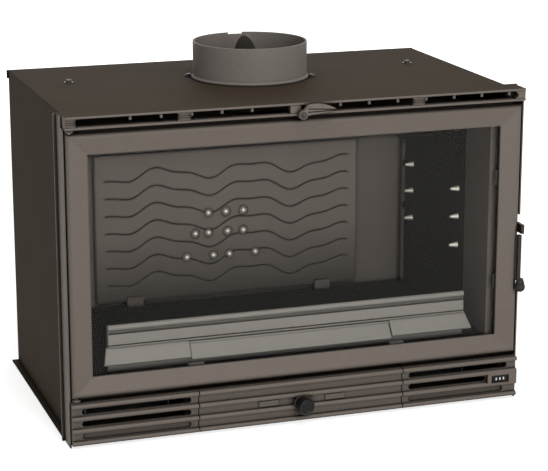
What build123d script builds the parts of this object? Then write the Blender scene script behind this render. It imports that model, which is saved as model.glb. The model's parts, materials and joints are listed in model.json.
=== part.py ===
from build123d import *

import os
from math import atan2, cos, degrees, hypot, radians, sin

# Fireplace insert: a cast iron firebox in a sheet steel casing, with a glazed door, an ash
# drawer, a flue damper, an air control and two blowers with their switch. Millimetres.
#
# Frame: the origin is on the underside of the base, straight below the axis of the flue
# collar. +X is to the right seen from the front, +Y is to the back, +Z is up.

os.makedirs("parts", exist_ok=True)

# Clearances, all on one side
running_clearance = 0.05  # a shaft in its bearing
press_clearance = 0.02  # a pin or screw in the hole that holds it
seat_gap = 0.3  # two pieces that bear on each other but can part
sheet_gap = 0.6  # a tube through a sheet

# Front, set back from the crowns of the ridges on the grilles
front_to_flue = 270.0
grille_width = 750.0
surround_setback = 11.0
surround_top_setback = 19.0
lip_setback = 47.0
door_setback = 6.5

# Surround: a cast frame with a thin wall round the door and a lip behind it
surround_proud = 2.5
surround_wall = 2.2
surround_rise = 3.5
surround_cap = 3.0
surround_step_drop = 17.0
lip_proud = 4.5
lip_thickness = 3.0
frame_plate = 12.0
mouth_return_depth = 81.0
mouth_return_wall = 5.0
outlet_drop = 23.0
bay_border = 11.0
bay_rise = 9.0
bay_drop = 6.0
mullion_setback = 6.0
mullion_width = 16.0

# Casing of folded sheet
casing_inset = 7.0
casing_height = 517.5
flue_to_back = 189.0
casing_sheet = 2.0
base_thickness = 3.0
base_overhang = 10.5
casing_flange = 16.0
top_fold_height = 14.0
top_fold_sheet = 1.5
top_fold_overhang = 3.0

# Firebox
casing_air_gap = 35.0
firebox_wall = 8.0
hearth_height = 100.0
hearth_thickness = 8.0
roof_drop = 43.5
firebox_top_thickness = 6.0
firebox_rear = 130.0
leg_size = 15.0
leg_sheet = 3.0
leg_gap = 0.5

# Fireback and what stands at the back of the firebox
fireback_width = 480.0
fireback_rise = 9.5
fireback_top = 370.0
fireback_thickness = 8.0
fireback_border = 3.0
clip_x = 173.0
clip_width = 28.0
clip_height = 19.0
clip_lip = 8.0
strip_width = 6.0
strip_depth = 12.0
strip_gap = 1.0
strip_notch_height = 12.0
strip_notch_depth = 5.0
strip_notch_heights = (245.0, 322.0)
baffle_thickness = 4.0
baffle_rear_rise = 2.0
baffle_front_drop = 35.5
baffle_front_y = -110.0
ledge_size = 8.0

# Air nozzles: rows on the fireback and on the side walls
nozzle_radius = 6.5
nozzle_crown = 5.0
nozzle_shank_radius = 3.0
nozzle_rows = (
    (258.0, (-37.5, -5.5, 26.5)),
    (222.0, (-61.5, -37.5, -2.5, 26.5)),
    (180.5, (-77.5, -29.0, 0.5, 48.5)),
)
side_nozzle_length = 14.0
side_nozzle_root = 5.0
side_nozzle_tip = 2.2
side_nozzle_ys = (-111.0, 87.0)
side_nozzle_heights = (228.0, 278.0, 326.0)

# Grate and log guard
grate_width = 220.0
grate_depth = 160.0
grate_y = -70.0
grate_thickness = 5.0
grate_ledge = 7.0
grate_slot_width = 8.0
grate_slot_length = 60.0
grate_slot_pitch = 18.0
grate_slots = 11
guard_end_gap = 30.5
guard_front = -207.0
guard_plate = 5.0
guard_roll_radius = 4.6
guard_roll_height = 171.4
guard_roll_out = 3.0
guard_band_bottom = 144.0
guard_band_top = 161.0
guard_band_proud = 3.5
guard_reed_radius = 2.4
guard_reed_heights = (134.8, 140.4)
guard_shelf_top = 136.0
guard_shelf_bottom = 112.0
guard_shelf_reach = 17.0
guard_shelf_plate = 4.0
guard_split = 170.0
guard_wing_gap = 1.0
guard_wing_out_top = 2.5
guard_wing_out_bottom = 9.5

# Flue collar and damper
collar_outer_radius = 94.6
collar_wall = 3.1
collar_rise = 60.5
collar_flare = 3.0
collar_notch_width = 25.0
collar_notch_x = 3.5
collar_notch_depth = 3.0
collar_ear_radius = 6.5
collar_ear_angle = 160.0
collar_ear_thickness = 2.5
damper_x = -4.0
damper_rise = 2.0
damper_shaft_radius = 4.0
damper_gap = 6.0
flap_thickness = 3.0
flap_hub_radius = 6.5
flap_hub_length = 120.0
shaft_tail = 6.0
lever_thickness = 7.0
lever_standoff = 2.5
lever_hub_radius = 7.0
lever_reach = 53.0
lever_root = 7.0
lever_root_top = 14.5
lever_root_bottom = -1.0
lever_belly = 20.0
lever_belly_top = 16.0
lever_tip = 5.5
lever_tip_width = 4.0
lever_groove = 1.5
lever_groove_depth = 2.5
shaft_button_radius = 4.6
shaft_button_length = 4.0

# Top grille
top_grille_drop = 19.0
top_grille_height = 20.0
rail_height = 3.5
lower_rail_depth = 14.0
end_block_width = 17.5
mid_block_x = 191.0
mid_block_width = 22.0
hub_block_x = -19.0
hub_block_width = 6.0
hub_sleeve_x = -10.5
hub_sleeve_width = 11.0
hub_boss_radius = 7.4
block_setback = 1.0
scallop_radius = 5.0
peg_radius = 2.5
peg_length = 6.0
peg_setback = 3.5
peg_first_x = -274.5
peg_pitch = 47.8
peg_count = 14
peg_clear_of_lever = 45.0

# Bottom panels: ridges and bands
panel_bottom = 5.0
panel_top = 74.0
panel_plate = 5.0
ridge_proud = 6.0
ridge_width = 7.0
ridge_radius = 3.2
ridge_border = 4.0
ridge_top_border = 5.0
ridge_count = 4
panel_joint = 172.0
joint_gap = 1.5
panel_flange = 3.0
panel_flange_depth = 18.0
panel_end_wall = 4.0
slot_height = 9.5
slot_blind_depth = 3.0
slot_start_gap = 12.0
slot_end_gap = 16.0
slot_low_end_gap = 23.0
slot_block_gap = 1.5
relief_x = 56.0
relief_width = 33.0
relief_height = 9.0
relief_depth = 1.5

# Switch
switch_inset = 29.5
switch_drop = 1.5
switch_width = 31.0
switch_tall = 13.0
switch_block_reach = 22.5
switch_setback = 1.5
switch_body_depth = 26.0
switch_wall = 1.6
switch_pocket_depth = 12.0
rocker_width = 24.8
rocker_height = 9.4
rocker_plate = 3.0
rocker_pivot_depth = 6.0
rocker_pin_radius = 1.5
rocker_pin_length = 1.2
rocker_hub_radius = 2.6

# Ash drawer and air control
ash_box_width = 319.0
ash_box_sheet = 1.5
ash_box_rear = 40.0
runner_width = 12.0
runner_height = 14.7
runner_sheet = 2.0
pan_side_gap = 8.0
pan_rear = 30.0
pan_front_setback = 42.0
pan_top_gap = 6.0
pan_sheet = 1.5
drawer_post_x = 100.0
drawer_post_height = 44.0
drawer_post_radius = 6.0
knob_height = 34.0
knob_radius = 14.2
knob_length = 19.0
knob_gap = 1.0
knob_edge = 3.0
knob_neck_radius = 9.0
air_shaft_radius = 4.0
air_boss_radius = 15.0
air_disc_radius = 18.0
air_disc_thickness = 2.5
air_disc_gap = 0.5
air_port_radius = 5.0
air_port_offset = 11.0

# Door
door_inset = 1.5
door_bottom_gap = 5.0
door_top_gap = 6.5
door_thickness = 20.5
door_edge_radius = 7.5
door_stile = 35.0
door_bottom_rail = 32.5
door_top_rail = 35.0
bezel_drop = 7.0
bezel_lip = 3.0
rebate_overlap = 6.5
glass_thickness = 4.0
glass_edge_gap = 1.0
glass_seal_thickness = 2.0
seal_inset = 14.0
seal_width = 10.0
seal_groove = 2.0
seal_corner = 3.0
clip_length = 24.0
clip_foot = 6.5
clip_screw_margin = 3.5
clip_sheet = 1.5
clip_screw_radius = 2.0
clip_screw_head = 3.0
clip_screw_head_height = 1.4
clip_screw_depth = 6.0
hinge_inset = 7.5
hinge_pin_radius = 4.0
hinge_pin_depth = 18.0
hinge_bracket_thickness = 4.0
hinge_bracket_radius = 7.5

# Handle and latch
handle_pivot_height = 290.0
handle_pivot_depth = 11.5
handle_shaft_radius = 4.0
handle_shaft_length = 21.0
handle_plate_gap = 0.8
handle_plate = 5.0
handle_hub_radius = 8.0
handle_arm_width = 5.6
handle_arm_depth = 7.0
handle_arm_drop = 87.0
handle_arm_proud = 1.0
handle_arm_clear = 9.5
grip_radius = 8.6
grip_drop = 106.0
grip_length = 23.0
grip_inset = 3.3
grip_taper = 8.0
grip_taper_radius = 7.4
grip_neck_radius = 4.6
handle_recess_gap = 1.0
handle_recess_rise = 22.0
keeper_pin_radius = 3.0
keeper_setback = 5.0
keeper_rise = 2.0
keeper_pin_gap = 0.6
keeper_block_width = 7.0
keeper_block_height = 12.0
hook_thickness = 6.0
hook_nose = 4.4
hook_pocket_depth = 6.0
hook_pocket_drop = 28.0

# Blowers
fan_inner_x = 190.0
fan_y = -115.0
fan_margin = 7.0
fan_plate = 2.0
fan_scroll_gap = 6.0
fan_scroll_sheet = 1.5
fan_half_depth = 40.0
fan_tongue = 12.0
fan_end_gap = 4.0
blade_count = 20
blade_width = 7.0
blade_thickness = 1.2
blade_pitch_angle = 35.0
fan_shaft_radius = 3.0
fan_shaft_tail = 4.0
motor_radius = 22.0
motor_length = 24.0
motor_gap = 12.0
motor_bore_depth = 16.0

# Small fittings
fitting_inset = 70.0
fitting_y = 39.0
fitting_washer_radius = 8.0
fitting_washer_thickness = 1.0
fitting_head_radius = 5.0
fitting_head_height = 4.0
screw_radius = 2.0
screw_head_radius = 4.0
screw_head_height = 2.0
screw_length = 6.0
rear_screw_shares = (0.12, 0.5, 0.88)
rear_screw_inset = 10.0
gland_inset = 68.0
gland_height = 40.0
gland_radius = 9.0
gland_neck_radius = 6.0
gland_bore_radius = 3.5
gland_flange = 3.0
gland_tail = 3.0

# Places worked out from the sizes: the front
front_y = -front_to_flue
grille_half = grille_width / 2
surround_half = grille_half + surround_proud
surround_inner = surround_half - surround_wall
surround_front = front_y + surround_setback
surround_top_front = front_y + surround_top_setback
surround_height = casing_height + surround_rise
surround_step_height = surround_height - surround_step_drop
lip_half = surround_half + lip_proud
frame_back = front_y + lip_setback + lip_thickness
frame_front = frame_back - frame_plate
outlet_bottom = surround_height - outlet_drop
bay_half_width = grille_half - bay_border
bay_bottom = panel_bottom + bay_rise
bay_top = panel_top - bay_drop
mullion_half_gap = panel_joint - mullion_setback
band_y = front_y + ridge_proud
panel_back = band_y + panel_plate
panel_inner = panel_joint + joint_gap / 2
ridge_first = panel_bottom + ridge_border
ridge_pitch = (panel_top - ridge_top_border - ridge_first) / (ridge_count - 1)
low_band, middle_band, high_band = [
    ridge_first + ridge_pitch * (row + 0.5) for row in range(ridge_count - 1)
]
slot_start = panel_joint + slot_start_gap
slot_end = grille_half - slot_end_gap
slot_low_end = grille_half - slot_low_end_gap
switch_x = grille_half - switch_inset
switch_height = middle_band - switch_drop
switch_block_start = switch_x - switch_block_reach
slot_switch_end = switch_block_start - slot_block_gap
top_grille_bottom = surround_height - top_grille_drop
top_grille_top = top_grille_bottom + top_grille_height

# Places of the casing and the firebox
casing_half = grille_half - casing_inset
casing_inner = casing_half - casing_sheet
casing_top = casing_height - casing_sheet
rear_inner = flue_to_back - casing_sheet
rear_screw_heights = [share * casing_height for share in rear_screw_shares]
fitting_x = casing_half - fitting_inset
gland_x = casing_half - gland_inset
firebox_half = casing_half - casing_air_gap
hearth_under = hearth_height - hearth_thickness
wall_start = frame_back + mouth_return_depth
firebox_back = firebox_rear + firebox_wall
roof_top = casing_height - roof_drop
firebox_top_height = roof_top - firebox_top_thickness
front_leg_x = mullion_half_gap + leg_gap
rear_leg_x = firebox_half - leg_size
fireback_bottom = hearth_height + fireback_rise
fireback_front = firebox_rear - fireback_thickness
baffle_rear_height = fireback_top + baffle_rear_rise
baffle_front_height = firebox_top_height - baffle_front_drop
strip_top = baffle_rear_height - ledge_size - strip_gap
guard_half = firebox_half - guard_end_gap
ash_box_half = ash_box_width / 2
ash_box_inner = ash_box_half - ash_box_sheet
pan_front = front_y + pan_front_setback
pan_bottom = runner_height + seat_gap
pan_half = ash_box_inner - pan_side_gap
pan_height = bay_top - pan_top_gap - pan_bottom

# Places of the collar and the damper
collar_inner_radius = collar_outer_radius - collar_wall
collar_top = casing_height + collar_rise
damper_height = top_grille_bottom + damper_rise
flap_radius = collar_inner_radius - damper_gap
flap_z = damper_height + damper_x
lever_back = front_y - lever_standoff
lever_front = lever_back - lever_thickness

# Places of the door and its handle
door_front = front_y + door_setback
door_back = door_front + door_thickness
door_half = grille_half - door_inset
door_bottom = panel_top + door_bottom_gap
door_top = top_grille_bottom - door_top_gap
glass_half = door_half - door_stile
glass_opening_bottom = door_bottom + door_bottom_rail
glass_opening_top = door_top - door_top_rail
bezel_back = door_front + bezel_drop + bezel_lip
glass_front = bezel_back + glass_seal_thickness
glass_back = glass_front + glass_thickness
rebate_half = glass_half + rebate_overlap
hinge_x = door_half - hinge_inset
hinge_y = door_front + door_edge_radius
handle_pivot_y = door_front + handle_pivot_depth
handle_plate_x = door_half + handle_plate_gap
handle_arm_bottom = handle_pivot_height - handle_arm_drop
grip_bottom = handle_pivot_height - grip_drop
grip_top = grip_bottom + grip_length
grip_x = handle_plate_x + handle_plate - grip_inset
handle_recess_bottom = grip_bottom - handle_recess_gap
handle_recess_top = handle_pivot_height + handle_recess_rise
hook_pocket_bottom = handle_pivot_height - hook_pocket_drop
keeper_y = frame_front - keeper_setback
keeper_z = handle_pivot_height + keeper_rise

# Places of the blowers
fan_outer_x = casing_inner - motor_gap - motor_length
fan_length = fan_outer_x - fan_inner_x
fan_height = (base_thickness + hearth_under) / 2
fan_outlet_height = hearth_under - fan_margin
scroll_outer = (hearth_under - base_thickness) / 2 - fan_margin
scroll_inner = scroll_outer - fan_scroll_sheet
fan_radius = scroll_inner - fan_scroll_gap


def front_view(y):
    """The plane across the insert at depth y, facing the front: its x is X, its y is Z."""
    return Plane.XZ.offset(-y)


def side_view(x):
    """The plane along the insert at X = x, facing +X: its x is Y, its y is Z."""
    return Plane.YZ.offset(x)


def slab(x, y, z, mode=Mode.ADD):
    """Adds or cuts the box between the two values given for each of X, Y and Z."""
    (x0, x1), (y0, y1), (z0, z1) = sorted(x), sorted(y), sorted(z)
    with Locations(((x0 + x1) / 2, (y0 + y1) / 2, (z0 + z1) / 2)):
        Box(x1 - x0, y1 - y0, z1 - z0, mode=mode)


def rod(start, direction, radius, length, mode=Mode.ADD):
    """Adds or cuts a round bar that runs from start along direction."""
    with BuildSketch(Plane(origin=start, z_dir=direction)) as circle:
        Circle(radius)
    extrude(circle.sketch, amount=length, mode=mode)


# Base plate, with an edge that stands out on both sides of the casing
with BuildPart() as base_plate:
    slab(
        (-casing_half - base_overhang, casing_half + base_overhang),
        (frame_back, flue_to_back + top_fold_sheet),
        (0, base_thickness),
    )
base_plate.part.label = "base_plate"
export_step(base_plate.part, "parts/base_plate.step")

# Side panels, each with a flange for the rear panel's screws
for side, hand in ((-1, "left"), (1, "right")):
    with BuildPart() as side_panel:
        slab(
            (side * casing_inner, side * casing_half),
            (frame_back, rear_inner),
            (base_thickness, casing_top),
        )
        slab(
            (side * (casing_inner - casing_flange), side * casing_inner),
            (rear_inner - casing_sheet, rear_inner),
            (base_thickness, casing_top),
        )
        for height in rear_screw_heights:
            rod(
                (side * (casing_half - rear_screw_inset), rear_inner, height),
                (0, -1, 0),
                screw_radius + press_clearance,
                casing_sheet,
                Mode.SUBTRACT,
            )
    side_panel.part.label = f"{hand}_side_panel"
    export_step(side_panel.part, f"parts/{hand}_side_panel.step")

# Rear panel, with the hole for the cable gland
with BuildPart() as rear_panel:
    slab((-casing_half, casing_half), (rear_inner, flue_to_back), (base_thickness, casing_top))
    for side in (-1, 1):
        for height in rear_screw_heights:
            rod(
                (side * (casing_half - rear_screw_inset), flue_to_back, height),
                (0, -1, 0),
                screw_radius + press_clearance,
                casing_sheet,
                Mode.SUBTRACT,
            )
    rod(
        (gland_x, flue_to_back, gland_height),
        (0, -1, 0),
        gland_neck_radius + press_clearance,
        casing_sheet,
        Mode.SUBTRACT,
    )
rear_panel.part.label = "rear_panel"
export_step(rear_panel.part, "parts/rear_panel.step")

# Rear screws, which hold the rear panel to the flanges of the side panels
with BuildPart() as rear_screws:
    for side in (-1, 1):
        for height in rear_screw_heights:
            screw_x = side * (casing_half - rear_screw_inset)
            rod((screw_x, flue_to_back, height), (0, 1, 0), screw_head_radius, screw_head_height)
            rod((screw_x, flue_to_back, height), (0, -1, 0), screw_radius, screw_length)
rear_screws.part.label = "rear_screws"
export_step(rear_screws.part, "parts/rear_screws.step")

# Cable gland: the rubber bush where the blowers' lead leaves the rear panel
with BuildPart() as cable_gland:
    rod((gland_x, flue_to_back, gland_height), (0, 1, 0), gland_radius, gland_flange)
    rod((gland_x, flue_to_back, gland_height), (0, -1, 0), gland_neck_radius, casing_sheet + gland_tail)
    rod(
        (gland_x, flue_to_back + gland_flange, gland_height),
        (0, -1, 0),
        gland_bore_radius,
        gland_flange + casing_sheet + gland_tail,
        Mode.SUBTRACT,
    )
cable_gland.part.label = "cable_gland"
export_step(cable_gland.part, "parts/cable_gland.step")

# Top plate, folded down behind the rear panel, with the hole that the collar passes through
with BuildPart() as top_plate:
    slab((-casing_half, casing_half), (frame_back, flue_to_back), (casing_top, casing_height))
    slab(
        (-casing_half - top_fold_overhang, casing_half + top_fold_overhang),
        (flue_to_back, flue_to_back + top_fold_sheet),
        (casing_height - top_fold_height, casing_height),
    )
    rod((0, 0, casing_top), (0, 0, 1), collar_outer_radius + sheet_gap, casing_sheet, Mode.SUBTRACT)
top_plate.part.label = "top_plate"
export_step(top_plate.part, "parts/top_plate.step")

# Top fittings: a washer and a domed head on each side of the top plate
with BuildPart() as top_fittings:
    for side in (-1, 1):
        rod(
            (side * fitting_x, fitting_y, casing_height),
            (0, 0, 1),
            fitting_washer_radius,
            fitting_washer_thickness,
        )
        rod(
            (side * fitting_x, fitting_y, casing_height + fitting_washer_thickness),
            (0, 0, 1),
            fitting_head_radius,
            fitting_head_height,
        )
    fillet(top_fittings.edges().group_by(Axis.Z)[-1], fitting_head_height / 2)
top_fittings.part.label = "top_fittings"
export_step(top_fittings.part, "parts/top_fittings.step")

# Front frame: a plate with the firebox mouth, the bays for the bottom panels and the warm
# air outlet, a wall round the door, the lip and the two returns into the firebox
with BuildPart() as front_frame:
    slab((-surround_half, surround_half), (frame_front, frame_back), (0, surround_height))
    slab((-lip_half, lip_half), (frame_back - lip_thickness, frame_back), (0, surround_height))
    for side in (-1, 1):
        slab(
            (side * surround_inner, side * surround_half),
            (surround_front, frame_front),
            (0, surround_step_height),
        )
        slab(
            (side * surround_inner, side * surround_half),
            (surround_top_front, frame_front),
            (surround_step_height, surround_height),
        )
        slab(
            (side * firebox_half, side * (firebox_half + mouth_return_wall)),
            (frame_back, wall_start),
            (hearth_under, firebox_top_height),
        )
        slab(
            (side * (mullion_half_gap + mullion_width), side * bay_half_width),
            (frame_front, frame_back),
            (bay_bottom, bay_top),
            Mode.SUBTRACT,
        )
    slab(
        (-surround_half, surround_half),
        (surround_top_front, frame_front),
        (surround_height - surround_cap, surround_height),
    )
    slab(
        (-firebox_half, firebox_half),
        (frame_front, frame_back),
        (hearth_height, firebox_top_height),
        Mode.SUBTRACT,
    )
    slab(
        (-mullion_half_gap, mullion_half_gap),
        (frame_front, frame_back),
        (bay_bottom, bay_top),
        Mode.SUBTRACT,
    )
    slab(
        (-bay_half_width, bay_half_width),
        (frame_front, frame_back),
        (outlet_bottom, surround_height - surround_cap),
        Mode.SUBTRACT,
    )
    slab(
        (surround_inner, surround_half),
        (surround_front, frame_front),
        (handle_recess_bottom, handle_recess_top),
        Mode.SUBTRACT,
    )
    slab(
        (door_half, handle_plate_x + handle_plate + handle_plate_gap),
        (frame_front, frame_front + hook_pocket_depth),
        (hook_pocket_bottom, handle_recess_top),
        Mode.SUBTRACT,
    )
front_frame.part.label = "front_frame"
export_step(front_frame.part, "parts/front_frame.step")

# Top grille: two rails, with end, middle and hub blocks between them, and a row of pegs
rail_gap_bottom = top_grille_bottom + rail_height
rail_gap_top = top_grille_top - rail_height
with BuildPart() as top_grille:
    slab(
        (-grille_half, grille_half),
        (front_y, front_y + lower_rail_depth),
        (top_grille_bottom, rail_gap_bottom),
    )
    slab(
        (-grille_half, grille_half),
        (front_y, surround_top_front - seat_gap),
        (rail_gap_top, top_grille_top),
    )
    for side in (-1, 1):
        slab(
            (side * (grille_half - end_block_width), side * grille_half),
            (front_y + block_setback, frame_front),
            (rail_gap_bottom, surround_height - surround_cap),
        )
        slab(
            (side * (grille_half - end_block_width), side * grille_half),
            (front_y + block_setback, surround_top_front - seat_gap),
            (rail_gap_bottom, rail_gap_top),
        )
        slab(
            (side * (mid_block_x - mid_block_width / 2), side * (mid_block_x + mid_block_width / 2)),
            (front_y + block_setback, front_y + lower_rail_depth),
            (rail_gap_bottom, rail_gap_top),
        )
        for scallop_x in (
            grille_half - end_block_width,
            mid_block_x - mid_block_width / 2,
            mid_block_x + mid_block_width / 2,
        ):
            rod(
                (side * scallop_x, front_y, (rail_gap_bottom + rail_gap_top) / 2),
                (0, 1, 0),
                scallop_radius,
                surround_top_setback,
                Mode.SUBTRACT,
            )
    for block_x, block_width in ((hub_block_x, hub_block_width), (hub_sleeve_x, hub_sleeve_width)):
        slab(
            (block_x - block_width / 2, block_x + block_width / 2),
            (front_y + block_setback, front_y + lower_rail_depth),
            (rail_gap_bottom, rail_gap_top),
        )
    rod((damper_x, front_y, damper_height), (0, 1, 0), hub_boss_radius, lower_rail_depth)
    rod(
        (damper_x, front_y, damper_height),
        (0, 1, 0),
        damper_shaft_radius + running_clearance,
        lower_rail_depth,
        Mode.SUBTRACT,
    )
    for index in range(peg_count):
        peg_x = peg_first_x + index * peg_pitch
        if peg_clear_of_lever < abs(peg_x) < grille_half - end_block_width - peg_radius:
            rod((peg_x, front_y + peg_setback, rail_gap_top), (0, 0, -1), peg_radius, peg_length)
top_grille.part.label = "top_grille"
export_step(top_grille.part, "parts/top_grille.step")


def ridged_plate(x0, x1):
    """Adds a plate from x0 to x1 with the round ridges of the bottom panels and a top flange."""
    with BuildSketch(side_view(x0)) as profile:
        with Locations(((band_y + panel_back) / 2, (panel_bottom + panel_top) / 2)):
            Rectangle(panel_plate, panel_top - panel_bottom)
        with Locations((band_y + panel_flange_depth / 2, panel_top - panel_flange / 2)):
            Rectangle(panel_flange_depth, panel_flange)
        for row in range(ridge_count):
            with Locations(((front_y + panel_back) / 2, ridge_first + row * ridge_pitch)):
                RectangleRounded(ridge_proud + panel_plate, ridge_width, ridge_radius)
    extrude(profile.sketch, amount=x1 - x0)


def band_slot(x0, x1, height, depth):
    """Cuts a round-ended slot, depth deep, in the band at the given height."""
    with BuildSketch(front_view(band_y)) as slot:
        with Locations(((x0 + x1) / 2, height)):
            SlotOverall(abs(x1 - x0), slot_height)
    extrude(slot.sketch, amount=-depth, mode=Mode.SUBTRACT)


# Left grille: two rows of open slots over a blind one
with BuildPart() as left_grille:
    ridged_plate(-grille_half, -panel_inner)
    for wall_x in (-grille_half, -panel_inner - panel_end_wall):
        slab((wall_x, wall_x + panel_end_wall), (panel_back, frame_front), (panel_bottom, panel_top))
    for height in (middle_band, high_band):
        band_slot(-slot_end, -slot_start, height, panel_plate)
    band_slot(-slot_end, -slot_start, low_band, slot_blind_depth)
left_grille.part.label = "left_grille"
export_step(left_grille.part, "parts/left_grille.step")

# Right grille: its middle slot is shorter, to leave a flat block that holds the switch
with BuildPart() as right_grille:
    ridged_plate(panel_inner, grille_half)
    for wall_x in (panel_inner, grille_half - panel_end_wall):
        slab((wall_x, wall_x + panel_end_wall), (panel_back, frame_front), (panel_bottom, panel_top))
    slab(
        (switch_block_start, grille_half),
        (front_y, panel_back),
        (middle_band - ridge_pitch / 2, middle_band + ridge_pitch / 2),
    )
    band_slot(slot_start, slot_end, high_band, panel_plate)
    band_slot(slot_start, slot_switch_end, middle_band, panel_plate)
    band_slot(slot_start, slot_low_end, low_band, slot_blind_depth)
    slab(
        (switch_x - switch_width / 2, switch_x + switch_width / 2),
        (front_y, panel_back),
        (switch_height - switch_tall / 2, switch_height + switch_tall / 2),
        Mode.SUBTRACT,
    )
right_grille.part.label = "right_grille"
export_step(right_grille.part, "parts/right_grille.step")

# Switch housing: a box with a pocket that the rocker tilts in
switch_front = front_y + switch_setback
housing_half_width = switch_width / 2 - press_clearance
housing_half_height = switch_tall / 2 - press_clearance
rocker_pivot_y = switch_front + rocker_pivot_depth
with BuildPart() as switch_housing:
    slab(
        (switch_x - housing_half_width, switch_x + housing_half_width),
        (switch_front, switch_front + switch_body_depth),
        (switch_height - housing_half_height, switch_height + housing_half_height),
    )
    with BuildSketch(front_view(switch_front)) as pocket:
        with Locations((switch_x, switch_height)):
            Rectangle(2 * (housing_half_width - switch_wall), 2 * (housing_half_height - switch_wall))
    extrude(pocket.sketch, amount=-switch_pocket_depth, mode=Mode.SUBTRACT)
    rod(
        (switch_x, rocker_pivot_y, switch_height - rocker_height / 2 - rocker_pin_length),
        (0, 0, 1),
        rocker_pin_radius + running_clearance,
        rocker_height + 2 * rocker_pin_length,
        Mode.SUBTRACT,
    )
switch_housing.part.label = "switch_housing"
export_step(switch_housing.part, "parts/switch_housing.step")

# Switch rocker: a plate dished towards its middle, on a hub with a pin at each end
with BuildPart() as switch_rocker:
    with BuildSketch(Plane.XY.offset(switch_height - rocker_height / 2)) as rocker_profile:
        with BuildLine():
            Polyline(
                (switch_x - rocker_width / 2, switch_front),
                (switch_x, switch_front + rocker_plate / 2),
                (switch_x + rocker_width / 2, switch_front),
                (switch_x + rocker_width / 2, switch_front + rocker_plate),
                (switch_x, switch_front + 2 * rocker_plate),
                (switch_x - rocker_width / 2, switch_front + rocker_plate),
                close=True,
            )
        make_face()
        with Locations((switch_x, rocker_pivot_y)):
            Circle(rocker_hub_radius)
    extrude(rocker_profile.sketch, amount=rocker_height)
    rod(
        (switch_x, rocker_pivot_y, switch_height - rocker_height / 2 - rocker_pin_length),
        (0, 0, 1),
        rocker_pin_radius,
        rocker_height + 2 * rocker_pin_length,
    )
switch_rocker.part.label = "switch_rocker"
export_step(switch_rocker.part, "parts/switch_rocker.step")

# Centre panel: the ridged front of the ash drawer, with two posts that carry the pan and a
# boss for the air control's shaft
with BuildPart() as centre_panel:
    ridged_plate(-panel_inner + joint_gap, panel_inner - joint_gap)
    for side in (-1, 1):
        rod(
            (side * drawer_post_x, panel_back, drawer_post_height),
            (0, 1, 0),
            drawer_post_radius,
            pan_front - panel_back,
        )
        with BuildSketch(front_view(band_y)) as relief:
            with Locations((side * relief_x, middle_band)):
                Rectangle(relief_width, relief_height)
        extrude(relief.sketch, amount=relief_depth)
    rod((0, front_y, knob_height), (0, 1, 0), air_boss_radius, panel_back - front_y)
    rod(
        (0, front_y, knob_height),
        (0, 1, 0),
        air_shaft_radius + running_clearance,
        panel_back - front_y,
        Mode.SUBTRACT,
    )
centre_panel.part.label = "centre_panel"
export_step(centre_panel.part, "parts/centre_panel.step")

# Ash pan: an open tray whose front wall has the two ports for the primary air
with BuildPart() as ash_pan:
    slab((-pan_half, pan_half), (pan_front, pan_rear), (pan_bottom, pan_bottom + pan_height))
    slab(
        (-pan_half + pan_sheet, pan_half - pan_sheet),
        (pan_front + pan_sheet, pan_rear - pan_sheet),
        (pan_bottom + pan_sheet, pan_bottom + pan_height),
        Mode.SUBTRACT,
    )
    for side in (-1, 1):
        rod(
            (side * air_port_offset, pan_front, knob_height),
            (0, 1, 0),
            air_port_radius,
            pan_sheet,
            Mode.SUBTRACT,
        )
    rod(
        (0, pan_front, knob_height),
        (0, 1, 0),
        air_shaft_radius + running_clearance,
        pan_sheet,
        Mode.SUBTRACT,
    )
ash_pan.part.label = "ash_pan"
export_step(ash_pan.part, "parts/ash_pan.step")

# Air control: a knob, its shaft through the drawer front, and a disc that covers or opens
# the ports in the pan's front wall
knob_back = front_y - knob_gap
disc_back = pan_front - air_disc_gap
with BuildPart() as air_shaft:
    rod(
        (0, knob_back - knob_length / 2, knob_height),
        (0, 1, 0),
        air_shaft_radius,
        pan_front + 2 * pan_sheet - knob_back + knob_length / 2,
    )
air_shaft.part.label = "air_shaft"
export_step(air_shaft.part, "parts/air_shaft.step")

with BuildPart() as air_knob:
    rod((0, knob_back, knob_height), (0, -1, 0), knob_neck_radius, knob_edge)
    rod((0, knob_back - knob_edge, knob_height), (0, -1, 0), knob_radius, knob_length - knob_edge)
    fillet(air_knob.edges().group_by(Axis.Y)[0], knob_edge)
    rod(
        (0, knob_back, knob_height),
        (0, -1, 0),
        air_shaft_radius + press_clearance,
        knob_length / 2,
        Mode.SUBTRACT,
    )
air_knob.part.label = "air_knob"
export_step(air_knob.part, "parts/air_knob.step")

with BuildPart() as air_disc:
    rod((0, disc_back, knob_height), (0, -1, 0), air_disc_radius, air_disc_thickness)
    for side in (-1, 1):
        rod(
            (0, disc_back, knob_height + side * air_port_offset),
            (0, -1, 0),
            air_port_radius,
            air_disc_thickness,
            Mode.SUBTRACT,
        )
    rod(
        (0, disc_back, knob_height),
        (0, -1, 0),
        air_shaft_radius + press_clearance,
        air_disc_thickness,
        Mode.SUBTRACT,
    )
air_disc.part.label = "air_disc"
export_step(air_disc.part, "parts/air_disc.step")

# Ash box: the sheet housing under the hearth, with a runner on each side for the pan
with BuildPart() as ash_box:
    for side in (-1, 1):
        slab(
            (side * ash_box_inner, side * ash_box_half),
            (frame_back, ash_box_rear),
            (base_thickness, hearth_under),
        )
        slab(
            (side * (ash_box_inner - runner_width), side * ash_box_inner),
            (frame_back, ash_box_rear),
            (runner_height - runner_sheet, runner_height),
        )
    slab(
        (-ash_box_half, ash_box_half),
        (ash_box_rear, ash_box_rear + ash_box_sheet),
        (base_thickness, hearth_under),
    )
ash_box.part.label = "ash_box"
export_step(ash_box.part, "parts/ash_box.step")

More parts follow.
